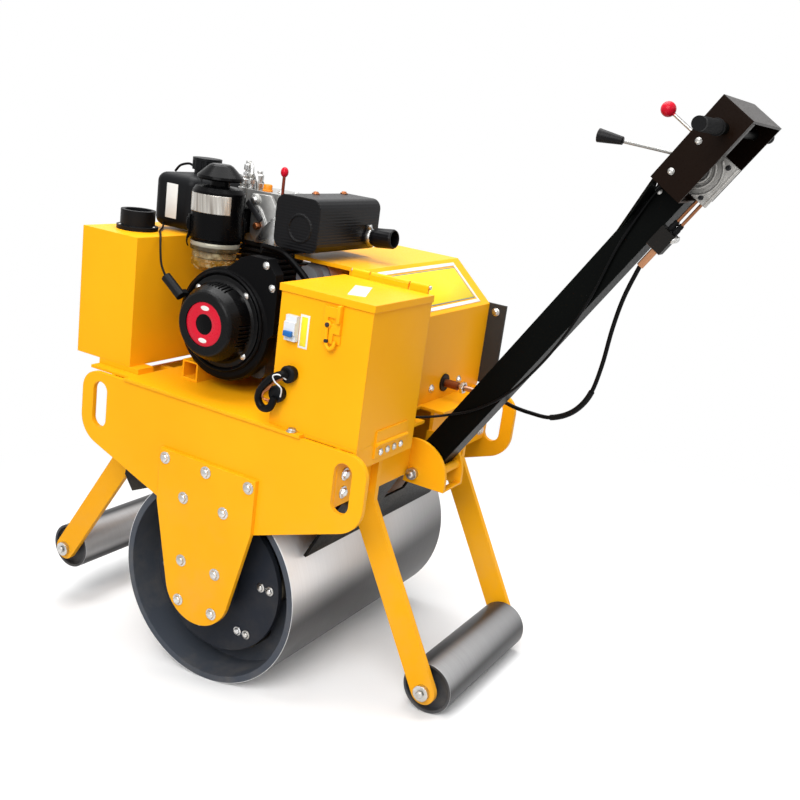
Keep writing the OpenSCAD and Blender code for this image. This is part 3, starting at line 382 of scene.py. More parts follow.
def clear_bowl(name):
    """Clear plastic with oil at the bottom, painted dark reflections and painted highlights in its
    body, painted shade on the neck under the lip, and a pale lip.
    """
    look = Finish(name, 0.002, 70.0, 300.0)
    height = look.along(CAN - BOWL_H * Z, Z)
    oil = ramp(look.tree, height, 0.026, 0.022)
    neck = ramp(look.tree, height, 0.037, 0.041)
    lip = ramp(look.tree, height, 0.048, 0.051)
    tint = look.mix(oil, linear(196, 180, 140), linear(208, 152, 48))
    # Painted reflections: darker streaks where the broad noise is low
    tint = look.mix(look.scaled(look.broad, 0.8, 0.0), tint, linear(112, 90, 50))
    # Painted highlights: pale glints where the broad noise is high
    tint = look.mix(ramp(look.tree, look.broad, 0.52, 0.74), tint, linear(246, 232, 184))
    # Painted shade: the neck under the lip is darkened
    tint = look.mix(look.times(neck, 0.85), tint, linear(54, 52, 40))
    tint = look.mix(lip, tint, linear(218, 212, 192))
    look.bump(look.broad, 0.05, 0.001)
    look.set(Base_Color=tint, Transmission_Weight=0.6, IOR=1.4,
             Roughness=look.scaled(look.fine, 0.08, 0.2))
    return look.done()


def plain_label(name):
    """Plain pale label face with a little unevenness and no lettering."""
    look = Finish(name, 0.0005, 20.0, 500.0)
    base = look.mix(look.scaled(look.broad, 0.0, 1.0), linear(228, 228, 225),
                    linear(212, 212, 208))
    look.bump(look.fine, 0.03, 0.0002)
    look.set(Base_Color=base, Specular_IOR_Level=0.3,
             Roughness=look.scaled(look.fine, 0.32, 0.44))
    return look.done()


YELLOW = paint("yellow_paint", linear(248, 174, 26), linear(242, 164, 20),
               linear(255, 202, 66), 0.36, 0.12, 0.12)
BLACK = paint("black_paint", linear(17, 17, 18), linear(11, 11, 12),
              linear(58, 58, 58), 0.36, 0.05)
ARM_BLACK = paint("arm_paint", linear(13, 15, 14), linear(9, 10, 10),
                  linear(78, 86, 84), 0.38, 0.04, 0.04)
HEAD_BROWN = paint("head_paint", linear(28, 19, 13), linear(20, 13, 9),
                   linear(70, 54, 46), 0.3, 0.06, 0.0)
GREY_PLATE = paint("dark_grey_paint", linear(60, 58, 56), linear(48, 47, 46),
                   linear(98, 98, 98), 0.42, 0.12)
HUB_GREY = paint("hub_paint", linear(46, 50, 57), linear(40, 43, 50),
                 linear(76, 78, 82), 0.42, 0.08, 0.04)
GLOSS_BLACK = paint("engine_black", linear(13, 13, 14), linear(9, 9, 10),
                    linear(66, 66, 66), 0.3, 0.14)
RIBBED = ribbed_paint("muffler_black")
ZINC = metal("zinc_plating", linear(206, 207, 208), linear(172, 170, 164), 0.3)
CAST = metal("cast_aluminium", linear(176, 176, 174), linear(140, 139, 136),
             0.45, (60, 60, 60), 0.9, 0.2)
DIE_CAST = metal("die_cast_zinc", linear(186, 184, 180), linear(164, 162, 158),
                 0.5, (90, 90, 90), 0.6, 0.15)
DARK_CAST = metal("dark_casting", linear(48, 48, 50), linear(32, 32, 34),
                  0.5, (60, 60, 60), 0.4, 0.25)
COPPER = metal("worn_copper", linear(176, 112, 74), linear(132, 80, 52), 0.35, (80, 80, 80))
SILVER = metal("bright_band", linear(226, 222, 214), linear(112, 104, 96), 0.25, (70, 70, 1.5))
DRUM = rolled_steel("drum_steel", DRUM_AXLE, 0.2115, linear(70, 75, 83), 246)
FRONT_STEEL = rolled_steel("front_roller_steel", FRONT_AXLE, 0.0512, linear(30, 29, 28), 176)
REAR_STEEL = rolled_steel("rear_roller_steel", REAR_AXLE, 0.0512, linear(30, 29, 28), 176)
RUBBER = moulded("black_rubber", linear(20, 20, 21), linear(13, 13, 14), 0.6, 0.2, 0.1)
CABLE = moulded("cable_sheath", linear(16, 16, 17), linear(10, 10, 11), 0.42, 0.06, 0.08)
PLASTIC = moulded("black_plastic", linear(22, 23, 25), linear(15, 16, 18), 0.42, 0.12, 0.12)
GLOSSY = moulded("gloss_black_plastic", linear(16, 16, 17), linear(10, 10, 11), 0.25, 0.03, 0.07)
WHITE = moulded("white_plastic", linear(222, 224, 226), linear(200, 203, 207), 0.4, 0.06)
BLUE = moulded("blue_plastic", linear(36, 104, 172), linear(26, 82, 148), 0.35, 0.05)
RED = moulded("red_plastic", linear(206, 16, 48), linear(184, 10, 38), 0.3, 0.03)
ORANGE = moulded("orange_plastic", linear(236, 146, 34), linear(214, 122, 22), 0.4, 0.06)
LABEL = plain_label("plain_label")
STICKER = moulded("yellow_sticker", linear(240, 220, 50), linear(228, 204, 40), 0.4, 0.03)
# Lemon panel tone: the colour of a panel inside the hood frame, made lighter than the hood paint
# as a painted highlight of the strong light on the slope
LEMON = moulded("lemon_panel", linear(250, 222, 46), linear(244, 210, 38), 0.4, 0.05, 0.15)
BLUE_LINE = moulded("grey_blue_line", linear(128, 144, 158), linear(112, 128, 142), 0.5, 0.03)
BOWL = clear_bowl("amber_bowl")
LEVER_ANGLE = math.radians(118)
LEVER_LINE = ON_ARM.to_3x3() @ Vector((math.sin(LEVER_ANGLE), 0, math.cos(LEVER_ANGLE)))
LEVER = banded("lever_rod_and_knob", ON_ARM @ Vector((HEAD_FRONT, 40, 793)), LEVER_LINE, [
    (0, linear(150, 150, 148), 0.3, 0.9), (98, linear(20, 20, 22), 0.4, 0.0)])
THROTTLE_FOOT = ON_ARM @ Vector((HEAD_FRONT, -40, 823))
THROTTLE = banded("lever_rod_and_ball", THROTTLE_FOOT, ON_ARM.to_3x3() @ X, [
    (0, linear(158, 158, 156), 0.3, 0.9), (73, linear(202, 16, 44), 0.2, 0.0)])
CLAMP_FOOT = ON_ARM @ Vector((CLAMP_V, CLAMP_Y, 652))
CLAMP = banded("clamp_and_rods", CLAMP_FOOT, ON_ARM.to_3x3() @ Z, [
    (-40, linear(184, 132, 98), 0.3, 0.9), (0, linear(15, 14, 14), 0.45, 0.0),
    (41, linear(150, 100, 70), 0.32, 0.9)])
GLAND = banded("gland_flange_and_pipe", (HOOD_REAR, GLAND_Y, GLAND_Z), -X, [
    (-40, linear(22, 21, 21), 0.5, 0.0), (5, linear(132, 78, 48), 0.38, 0.8),
    (40, linear(188, 150, 126), 0.32, 0.9)])
STARTER = banded("starter_motor_body", (-24, 0, 818), -Y, [
    (-100, linear(128, 131, 136), 0.36, 0.2), (-62, linear(236, 230, 216), 0.3, 0.4),
    (4, linear(230, 220, 202), 0.4, 0.1), (66, linear(26, 24, 22), 0.4, 0.2)])
CYLINDER = banded("cylinder_fins_and_head", (0, 0, 0), Z, [
    (0, linear(26, 26, 27), 0.5, 0.1), (862, linear(172, 172, 170), 0.42, 0.85)])
TRIP = banded("trip_stem_and_knob", (92, 50, ENGINE_TOP), Z, [
    (0, linear(124, 58, 44), 0.4, 0.5), (36, linear(196, 22, 44), 0.25, 0.0)])

LOOKS = {
    YELLOW: ["side_plates", "hanger_plates", "deck", "cross_plates", "handle_clevis",
             "leg_brackets", "front_legs", "rear_legs", "front_tank", "tank_feet",
             "battery_box", "battery_lid", "lid_latch", "box_hinge", "hood", "engine_rails"],
    BLACK: ["scrapers", "fan_shroud"],
    GLOSS_BLACK: ["recoil_starter"],
    GLOSSY: ["air_cleaner", "battery"],
    ARM_BLACK: ["handle_arm", "grip_bar"],
    HEAD_BROWN: ["control_head"],
    GREY_PLATE: ["hood_side_plate"],
    HUB_GREY: ["hub_discs", "drum_hubs"],
    RIBBED: ["muffler"],
    ZINC: ["pivot_pin", "roller_axles"],
    CYLINDER: ["engine_cylinder"],
    DIE_CAST: ["lever_plate"],
    DARK_CAST: ["crankcase", "pump_block"],
    GLAND: ["cable_gland"],
    DRUM: ["drum_shell"],
    FRONT_STEEL: ["front_roller"],
    REAR_STEEL: ["rear_roller"],
    RUBBER: ["drum_buffers", "grips"],
    CABLE: ["control_cable", "throttle_cable"],
    PLASTIC: ["tank_filler", "connectors", "recoil_grip", "fuel_tank", "fuel_cap"],
    WHITE: ["breaker"],
    TRIP: ["decompressor"],
    BOWL: ["air_bowl"],
    LEVER: ["drive_lever"],
    THROTTLE: ["throttle_lever"],
    CLAMP: ["cable_clamp"],
    STARTER: ["starter_motor"],
}


def dress_solids():
    for material, names in LOOKS.items():
        for name in names:
            for slot in nodes[name].material_slots:
                slot.material = material


# Floor, backdrop and lamps

def add_world():
    scene = bpy.context.scene
    scene.view_settings.view_transform = "Standard"
    world = bpy.data.worlds.new("studio")
    scene.world = world
    world.use_nodes = True
    tree = world.node_tree
    tree.nodes.clear()
    path = node(tree, "LightPath").outputs
    seen = calc(tree, "MAXIMUM", path["Is Camera Ray"], path["Is Transmission Ray"])
    seen = calc(tree, "MAXIMUM", seen, path["Is Glossy Ray"])
    soft = node(tree, "Background", {"Color": (1, 1, 1, 1), "Strength": 0.38}).outputs[0]
    white = node(tree, "Background", {"Color": (1, 1, 1, 1), "Strength": 1.0}).outputs[0]
    mixed = node(tree, "MixShader", {0: seen, 1: soft, 2: white}).outputs[0]
    node(tree, "OutputWorld", {"Surface": mixed})


def add_floor():
    bm = bmesh.new()
    bmesh.ops.create_circle(bm, cap_ends=True, segments=96, radius=9.0)
    mesh = bpy.data.meshes.new("floor")
    bm.to_mesh(mesh)
    bm.free()
    floor = bpy.data.objects.new("floor", mesh)
    bpy.context.scene.collection.objects.link(floor)
    material = bpy.data.materials.new("pale_floor")
    material.use_nodes = True
    tree = material.node_tree
    shader = tree.nodes["Principled BSDF"]
    shader.inputs["Roughness"].default_value = 0.8
    path = node(tree, "LightPath").outputs
    tone = blend_colour(tree, path["Is Diffuse Ray"], (0.93, 0.93, 0.93, 1), (0.5, 0.5, 0.5, 1))
    tree.links.new(tone, shader.inputs["Base Color"])
    place = node(tree, "TexCoord").outputs["Object"]
    away = ramp(tree, vector_calc(tree, "LENGTH", place), 0.7, 1.9)
    seen = calc(tree, "MAXIMUM", path["Is Camera Ray"], path["Is Glossy Ray"])
    glow = node(tree, "Emission", {"Color": (1, 1, 1, 1), "Strength": 1.0}).outputs[0]
    fade = node(tree, "MixShader", {0: calc(tree, "MULTIPLY", away, seen),
                                    1: shader.outputs[0], 2: glow}).outputs[0]
    tree.links.new(fade, tree.nodes["Material Output"].inputs["Surface"])
    mesh.materials.append(material)


def add_lamp(name, place, aim, size, power):
    lamp = bpy.data.lights.new(name, "AREA")
    lamp.energy = power
    lamp.size = size
    holder = bpy.data.objects.new(name, lamp)
    holder.location = place
    holder.rotation_euler = (Vector(aim) - Vector(place)).to_track_quat("-Z", "Y").to_euler()
    bpy.context.scene.collection.objects.link(holder)


def add_lamps():
    middle = (0.05, 0.0, 0.5)
    add_lamp("key", (-0.9, 2.7, 2.6), middle, 2.2, 112)
    add_lamp("top", (0.2, -0.3, 3.4), middle, 2.6, 122)
    add_lamp("rear_fill", (-3.2, 0.2, 1.6), middle, 2.2, 15)


# Shapes, drawn into a bmesh in millimetres

def facing(at, towards):
    """Local frame at a place, with Z turned to a direction."""
    turn = Vector(towards).to_track_quat("Z", "Y").to_matrix().to_4x4()
    return Matrix.Translation(Vector(at)) @ turn


def standing(y):
    """Local frame of an upright sheet: X forward, Y up, and its thickness towards +Y."""
    return (Matrix.Translation((0, y, 0)) @ Matrix.Rotation(math.pi / 2, 4, "X")
            @ Matrix.Scale(-1, 4, Z))


def lathe(bm, profile, where, segments):
    """Revolves points of radius and height about the local Z axis."""
    rim = [bm.verts.new(where @ Vector((r, 0, h))) for r, h in profile]
    edges = [bm.edges.new(pair) for pair in zip(rim, rim[1:])]
    bmesh.ops.spin(bm, geom=rim + edges, cent=where.translation, axis=where.to_3x3() @ Z,
                   angle=2 * math.pi, steps=segments, use_merge=True)


def soften(bm, verts, width):
    """Rounds every edge that meets the vertices."""
    edges = {e for v in verts for e in v.link_edges}
    bmesh.ops.bevel(bm, geom=list(edges), offset=width, offset_type="OFFSET", segments=2,
                    profile=0.5, affect="EDGES", clamp_overlap=True, material=-1)


def block(bm, low, high, where, bevel):
    """Box between two corners of a local frame, with rounded edges."""
    low, high = Vector(low), Vector(high)
    middle = Matrix.Translation((low + high) / 2)
    size = Matrix.Diagonal(high - low).to_4x4()
    made = bmesh.ops.create_cube(bm, size=1.0, matrix=where @ middle @ size)
    soften(bm, made["verts"], bevel)


def sheet(bm, outline, thickness, where, bevel):
    """Extrudes an outline of local X and Y points along the local Z axis."""
    face = bm.faces.new([bm.verts.new(where @ Vector((x, y, 0))) for x, y in outline])
    made = bmesh.ops.extrude_face_region(bm, geom=[face])["geom"]
    raised = [v for v in made if isinstance(v, bmesh.types.BMVert)]
    bmesh.ops.translate(bm, verts=raised, vec=where.to_3x3() @ Vector((0, 0, thickness)))
    soften(bm, raised + list(face.verts), bevel)


def route(points, steps):
    """Smooth curve through chosen points, as the solids of the cables follow it."""
    p = [Vector(q) for q in points]
    last = len(p) - 1
    curve = []
    for i in range(last):
        a, b, c, d = p[max(i - 1, 0)], p[i], p[i + 1], p[min(i + 2, last)]
        for k in range(steps):
            t = k / steps
            curve.append(0.5 * (2 * b + (c - a) * t + (2 * a - 5 * b + 4 * c - d) * t * t
                                + (3 * b - a - 3 * c + d) * t ** 3))
    return curve + [p[last]]


def aims(path):
    """Frame at each point of a path, with Z along it and no twist between neighbours."""
    last = len(path) - 1
    turn = None
    frames = []
    for i, point in enumerate(path):
        ahead = (path[min(i + 1, last)] - path[max(i - 1, 0)]).normalized()
        if turn is None:
            turn = ahead.to_track_quat("Z", "Y")
        else:
            turn = (turn @ Z).rotation_difference(ahead) @ turn
        frames.append(Matrix.LocRotScale(point, turn, None))
    return frames


def tube(bm, path, radius, sides):
    """Sweeps a ring along a path and closes both ends."""
    frames = aims(path)
    ring = bmesh.ops.create_circle(bm, cap_ends=True, segments=sides, radius=radius,
                                   matrix=frames[0])
    edges = list({e for v in ring["verts"] for e in v.link_edges})
    for before, after in zip(frames, frames[1:]):
        made = bmesh.ops.extrude_edge_only(bm, edges=edges)["geom"]
        verts = [g for g in made if isinstance(g, bmesh.types.BMVert)]
        edges = [g for g in made if isinstance(g, bmesh.types.BMEdge)]
        bmesh.ops.transform(bm, matrix=after @ before.inverted(), verts=verts)
    bmesh.ops.edgeloop_fill(bm, edges=edges)


def bolt(bm, at, towards, size, washer=True):
    """Hexagon head with a chamfer, on a washer."""
    where = facing(at, towards)
    if washer:
        lathe(bm, [(0, 0), (1.35 * size, 0), (1.35 * size, 1.6), (1.25 * size, 2), (0, 2)],
              where, 24)
    lathe(bm, [(0, 1), (size, 1), (size, 0.6 * size), (0.88 * size, 0.75 * size),
               (0.5 * size, 0.86 * size), (0, 0.9 * size)], where, 6)


def stud(bm, at, towards, size):
    """Domed cap screw with a socket."""
    lathe(bm, [(0, 0), (size * 1.25, 0), (size * 1.25, 1.2), (size, 1.6), (size, 0.5 * size),
               (0.85 * size, 0.8 * size), (0.5 * size, 0.95 * size), (0.42 * size, 0.5 * size),
               (0, 0.5 * size)], facing(at, towards), 20)


def piece(bm, name, body, material, base=STANCE):
    """Closes a bmesh into an object of the frame that rides on a body."""
    bmesh.ops.remove_doubles(bm, verts=bm.verts, dist=0.002)
    bmesh.ops.dissolve_degenerate(bm, edges=bm.edges, dist=0.001)
    bmesh.ops.recalc_face_normals(bm, faces=bm.faces)
    bmesh.ops.transform(bm, matrix=base, verts=bm.verts)
    mesh = bpy.data.meshes.new(name)
    bm.to_mesh(mesh)
    bm.free()
    mesh.shade_smooth()
    mesh.set_sharp_from_angle(angle=SMOOTH_ANGLE)
    mesh.materials.append(material)
    made = bpy.data.objects.new(name, mesh)
    bpy.context.scene.collection.objects.link(made)
    if body:
        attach(made, body)
    return made


# Cables: the routes of their solids, repeated here

def arm_place(v, y, u):
    """Place on the machine of a point given in the arm's own frame."""
    return ON_ARM @ Vector((v, y, u))


CONTROL_ROUTE = [
    (-326.3, GLAND_Y, GLAND_Z), (-346, -141, GLAND_Z), (-380, -122, 620), (-408, -93, 625),
    (-440, -68, 628), (-480, -53, 630), (-528, -40, 636), (-572, -30, 661), (-602, -20, 703),
    (-618, -8, 765), (-628, 4, 840), (-641, 15, 902),
    arm_place(CLAMP_V, CLAMP_Y, 614) + Vector((0.5, 0, -1.6)),
]
THROTTLE_ROUTE = [
    arm_place(20, 36, 747.2), (-655.7, 36, 1070.9), (-619, 35, 989), (-588, 35, 893),
    (-550, 35, 808), (-511, 35, 742), (-462, 35, 680), (-404, 36, 634), (-350, 40, 609),
    (-306, 58, 596), (-262, 88, 592), (-200, 95, 592), (-110, 95, 604), (-66, 95, 640),
    (-44, 95, 650), (-22.4, 95, 650),
]
CONTROL_R, SLEEVE_R, THROTTLE_R = 4.0, 5.6, 2.5


def add_cable(name, points, radius):
    """Sheath swept along the route of a cable that runs from the frame to the handle; it replaces
    the cable's solid and rides on no body.
    """
    path = route(points, 6)
    bm = bmesh.new()
    tube(bm, path, radius, 14)
    cable = piece(bm, name + "_sheath", None, CABLE)
    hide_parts(name)
    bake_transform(cable)
    return path


def add_cables():
    path = add_cable("control_cable", CONTROL_ROUTE, CONTROL_R)
    bm = bmesh.new()
    tube(bm, path[36:50], SLEEVE_R, 14)
    sleeve = piece(bm, "control_cable_sleeve", None, RUBBER)
    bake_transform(sleeve)
    add_cable("throttle_cable", THROTTLE_ROUTE, THROTTLE_R)


# Frame details

HANGER_BOLTS = [(-103, 455), (0, 455), (103, 455), (-50, 387), (50, 387),
                (-43, 255.5), (43, 255.5), (-43, 169.5), (43, 169.5)]


def add_frame_bolts():
    bm = bmesh.new()
    for side in (1, -1):
        for x, z in HANGER_BOLTS:
            bolt(bm, (x, side * HANGER_Y, z), side * Y, 9.0)
        for x in (-223, 241):
            for z in (462, 492):
                bolt(bm, (x, side * 190, z), side * Y, 9.0)
        for end in (1, -1):
            for z in (490, 525):
                bolt(bm, (end * CROSS_X, side * 283, z), end * X, 9.0)
        bolt(bm, (-175, side * 314, DECK_Z), Z, 8.0)
        for axle in (FRONT_AXLE, REAR_AXLE):
            bolt(bm, axle + side * 199 * Y, side * Y, 8.0, washer=False)
        bolt(bm, (PIVOT.x, side * 51, PIVOT.z), side * Y, 8.0, washer=False)
    for y in (157, 181, 205, 229):
        bolt(bm, (BOX_REAR - 3, y, 566), -X, 5.0)
    for angle in (70, 190, 310):
        turn = math.radians(angle)
        out = Vector((math.cos(turn), math.sin(turn), 0))
        bolt(bm, FILLER + 38.5 * out, Z, 3.2, washer=False)
    piece(bm, "frame_bolts", "frame", ZINC)


def add_frame_plates():
    strap = bmesh.new()
    block(strap, (-364, -CLEVIS_Y - 0.5, 448), (-350, CLEVIS_Y + 0.5, 452), HERE, 1.0)
    piece(strap, "clevis_strap", "frame", YELLOW)

    flaps = bmesh.new()
    for low in (SCRAPER_Y - 6, -SCRAPER_Y):
        outline = [(200, 342), (262, 456), (284, 346), (260, 314)]
        sheet(flaps, outline, 6, standing(low), 1.0)
    piece(flaps, "scraper_flaps", "frame", RUBBER)


def add_hub_nuts():
    bm = bmesh.new()
    for side in (1, -1):
        for i in range(6):
            angle = math.radians(NUT_PHASE + 60 * i)
            out = Vector((math.cos(angle), 0, -math.sin(angle)))
            for step in (-11, 11):
                spot = DRUM_AXLE + Vector((step, side * HUB_FACE_Y, 0)) + NUT_CIRCLE * out
                bolt(bm, spot, side * Y, 7.0)
    piece(bm, "hub_nuts", "drum", ZINC)


# Engine details

def add_recoil_details():
    ring = bmesh.new()
    face = facing((CRANK.x, RECOIL_FACE_Y, CRANK.z), Y)
    lathe(ring, [(20, 0), (43, 0), (43, 0.8), (42, 1.4), (21, 1.4), (20, 0.8), (20, 0)],
          face, 64)
    piece(ring, "recoil_ring", "frame", RED)

    spots = bmesh.new()
    for height in (31.5, -31.5):
        before = set(spots.verts)
        lathe(spots, [(0, 0), (4.6, 0), (4.6, 0.3), (4.3, 0.6), (0, 0.6)], HERE, 28)
        oval = Matrix.Translation((0, height, 1.2)) @ Matrix.Diagonal((2.2, 1.0, 1.0, 1.0))
        added = [v for v in spots.verts if v not in before]
        bmesh.ops.transform(spots, matrix=face @ oval, verts=added)
    piece(spots, "recoil_ring_spots", "frame", LABEL)

    boss = bmesh.new()
    lathe(boss, [(0, 0), (18, 0), (18, 0.6), (16.5, 1.2), (0, 1.2)], face, 48)
    piece(boss, "recoil_centre", "frame", GLOSSY)

    screws = bmesh.new()
    for angle in (132, 222, 312, 42):
        turn = math.radians(angle)
        out = Vector((math.cos(turn), 0, math.sin(turn)))
        bolt(screws, CRANK + 83 * out + 4.4 * Y, Y, 5.0)
    for x, z in ((-22, 852), (-40, 812)):
        bolt(screws, (x, 232, z), Y, 5.5)
    piece(screws, "shroud_bolts", "frame", ZINC)


def add_air_cleaner_details():
    band = bmesh.new()
    where = Matrix.Translation(CAN)
    start, end, count = math.radians(28), math.radians(157), 24
    low, high = 59, 95
    inner, outer = CAN_R + 0.2, CAN_R + 0.9
    edge = [band.verts.new(where @ Matrix.Rotation(start, 4, "Z") @ Vector((r, 0, h)))
            for r, h in ((inner, low), (outer, low), (outer, high), (inner, high))]
    band_face = band.faces.new(edge)
    bmesh.ops.spin(band, geom=[band_face], cent=CAN, axis=Z, angle=end - start, steps=count)
    piece(band, "air_cleaner_band", "frame", SILVER)

    ring = bmesh.new()
    profile = ((-0.5, -9), (2, -9), (4, -7), (4.5, -4), (4, -1), (3, 0), (-0.5, 0), (-0.5, -9))
    lathe(ring, [(BOWL_R + r, h) for r, h in profile], where, 64)
    piece(ring, "bowl_ring", "frame", ZINC)

    clips = bmesh.new()
    for angle in (46, 226):
        side = where @ Matrix.Rotation(math.radians(angle), 4, "Z")
        block(clips, (CAN_R - 0.5, -7, 2), (CAN_R + 4, 7, 50), side, 1.5)
        block(clips, (CAN_R + 3, -4, 20), (CAN_R + 7, 4, 44), side, 1.5)
        wire = [side @ Vector((CAN_R + r, y, h)) for r, y, h in (
            (3, -5, 8), (4, -5, -6), (1, 0, -14), (4, 5, -6), (3, 5, 8))]
        tube(clips, route(wire, 4), 1.4, 8)
    piece(clips, "air_cleaner_clips", "frame", GLOSSY)


def add_head_fittings():
    bracket = bmesh.new()
    face = standing(69)
    sheet(bracket, [(148, 960), (100, 962), (84, 940), (84, 866), (130, 862), (146, 878)],
          9, face, 1.5)
    sheet(bracket, [(144, 950), (118, 930), (92, 884), (100, 880), (128, 918), (147, 934)],
          13, face, 1.5)
    lathe(bracket, [(0, 0), (12, 0), (12, 12), (10, 14), (0, 14)], facing((136, 69, 948), Y), 28)
    tube(bracket, route([(96, 70, 900), (82, 76, 908), (64, 76, 912), (44, 76, 914)], 5), 12, 18)
    piece(bracket, "intake_casting", "frame", CAST)

    plate = bmesh.new()
    sheet(plate, [(78, 922), (70, 862), (122, 867), (106, 896)],
          5, face @ Matrix.Translation((0, 0, 15)), 1.2)
    lathe(plate, [(0, 0), (11, 0), (11, 16), (0, 16)], facing((84, 68, 880), Y), 20)
    piece(plate, "exhaust_plate", "frame", ZINC)

    link = bmesh.new()
    sheet(link, [(156, 938), (148, 948), (110, 914), (117, 905)],
          4, face @ Matrix.Translation((0, 0, 14)), 1.0)
    lathe(link, [(0, 0), (6, 0), (6, 17), (0, 17)], facing((128, 68, 926), Y), 16)
    piece(link, "rocker_link", "frame", DARK_CAST)

    nut = bmesh.new()
    lathe(nut, [(0, 0), (8, 0), (8, 20), (6, 23), (0, 23)], facing((124, 68, 897), Y), 6)
    piece(nut, "intake_nut", "frame", COPPER)

    cap = bmesh.new()
    lathe(cap, [(0, 0), (11, 0), (11, 3), (9.5, 4), (9.5, 12), (8, 14), (0, 14)],
          Matrix.Translation((138, 40, ENGINE_TOP)), 18)
    piece(cap, "oil_cap", "frame", ORANGE)

    injector = bmesh.new()
    stem = Matrix.Translation((182, 40, 934))
    lathe(injector, [(0, 0), (11, 0), (11, 30), (8, 33), (8, 46), (6, 49), (6, 62), (0, 62)],
          stem, 20)
    lathe(injector, [(0, 40), (13, 40), (13, 49), (0, 49)], stem, 6)
    lathe(injector, [(0, 54), (9, 54), (9, 60), (0, 60)], stem, 6)
    for pipe in (
            [(182, 40, 992), (186, 36, 1006), (200, 24, 1012), (212, 8, 1000), (212, -14, 960)],
            [(176, 44, 986), (166, 50, 996), (156, 54, 986), (154, 52, 964)]):
        tube(injector, route(pipe, 5), 4.2, 12)
    for x, y, top in ((204, 26, 1018), (166, 34, 1002), (194, 52, 990)):
        banjo = Matrix.Translation((x, y, top))
        lathe(injector, [(0, -84), (6, -84), (6, -20), (9, -18), (9, -8), (6, -6), (6, 0), (0, 0)],
              banjo, 18)
        lathe(injector, [(0, -34), (10, -34), (10, -24), (0, -24)], banjo, 6)
    for x, y, z in ((166, 26, ENGINE_TOP), (196, 48, 935), (110, 30, ENGINE_TOP),
                    (94, 0, ENGINE_TOP)):
        bolt(injector, (x, y, z), Z, 6.0)
    bolt(injector, (136, 83, 948), Y, 6.5)
    piece(injector, "injector", "frame", ZINC)


def add_muffler_details():
    clamp = bmesh.new()
    tail_angle = math.radians(-84)
    axis = (math.sin(tail_angle), 0, math.cos(tail_angle))
    where = facing((MUFFLER.x - MUFFLER_HALF + 2, -40, MUFFLER.z - 24), axis)
    lathe(clamp, [(15.2, 6), (17, 6), (17.6, 7), (17.6, 15), (17, 16), (15.2, 16), (15.2, 6)],
          where, 36)
    block(clamp, (14, -4, 6), (27, 4, 16), where @ Matrix.Rotation(math.radians(110), 4, "Z"), 1.2)
    piece(clamp, "tail_clamp", "frame", ZINC)

    studs = bmesh.new()
    for y in (44, -58):
        bolt(studs, (14, y, MUFFLER.z + MUFFLER_HALF), Z, 6.0)
    piece(studs, "muffler_studs", "frame", COPPER)


# Thin hoses, the pull cord and two thick hoses: radius, sides and the points of each
ENGINE_LINES = [
    (2.6, 10, [(374, 60, 972), (362, 58, 986), (344, 52, 992), (334, 48, 988)]),
    (3.0, 10, [(290, 66, 990), (268, 92, 984), (254, 116, 960), (248, 124, 920),
               (246, 118, 886)]),
    (2.2, 10, [(330, 134, 872), (318, 148, 862), (292, 184, 861), (258, 218, 860),
               (238, 238, 842), (216, 256, 812), (197, 262, 791)]),
    (5.5, 12, [(26, 190, 880), (2, 152, 868), (-30, 148, 848), (-58, 146, 824),
               (-76, 140, 790)]),
    (5.5, 12, [(34, 180, 868), (10, 138, 860), (-18, 132, 842), (-46, 130, 816),
               (-64, 126, 780)]),
]


def add_engine_lines():
    lines = bmesh.new()
    for radius, sides, points in ENGINE_LINES:
        tube(lines, route(points, 6), radius, sides)
    piece(lines, "engine_lines", "frame", CABLE)

    label = bmesh.new()
    outline = [(321, 884), (291, 884), (291, 955), (321, 955)]
    sheet(label, outline, 1.0, standing(FUEL_NEAR_Y - 0.4), 0.3)
    piece(label, "fuel_tank_panel", "frame", LABEL)


# Battery box and hood details

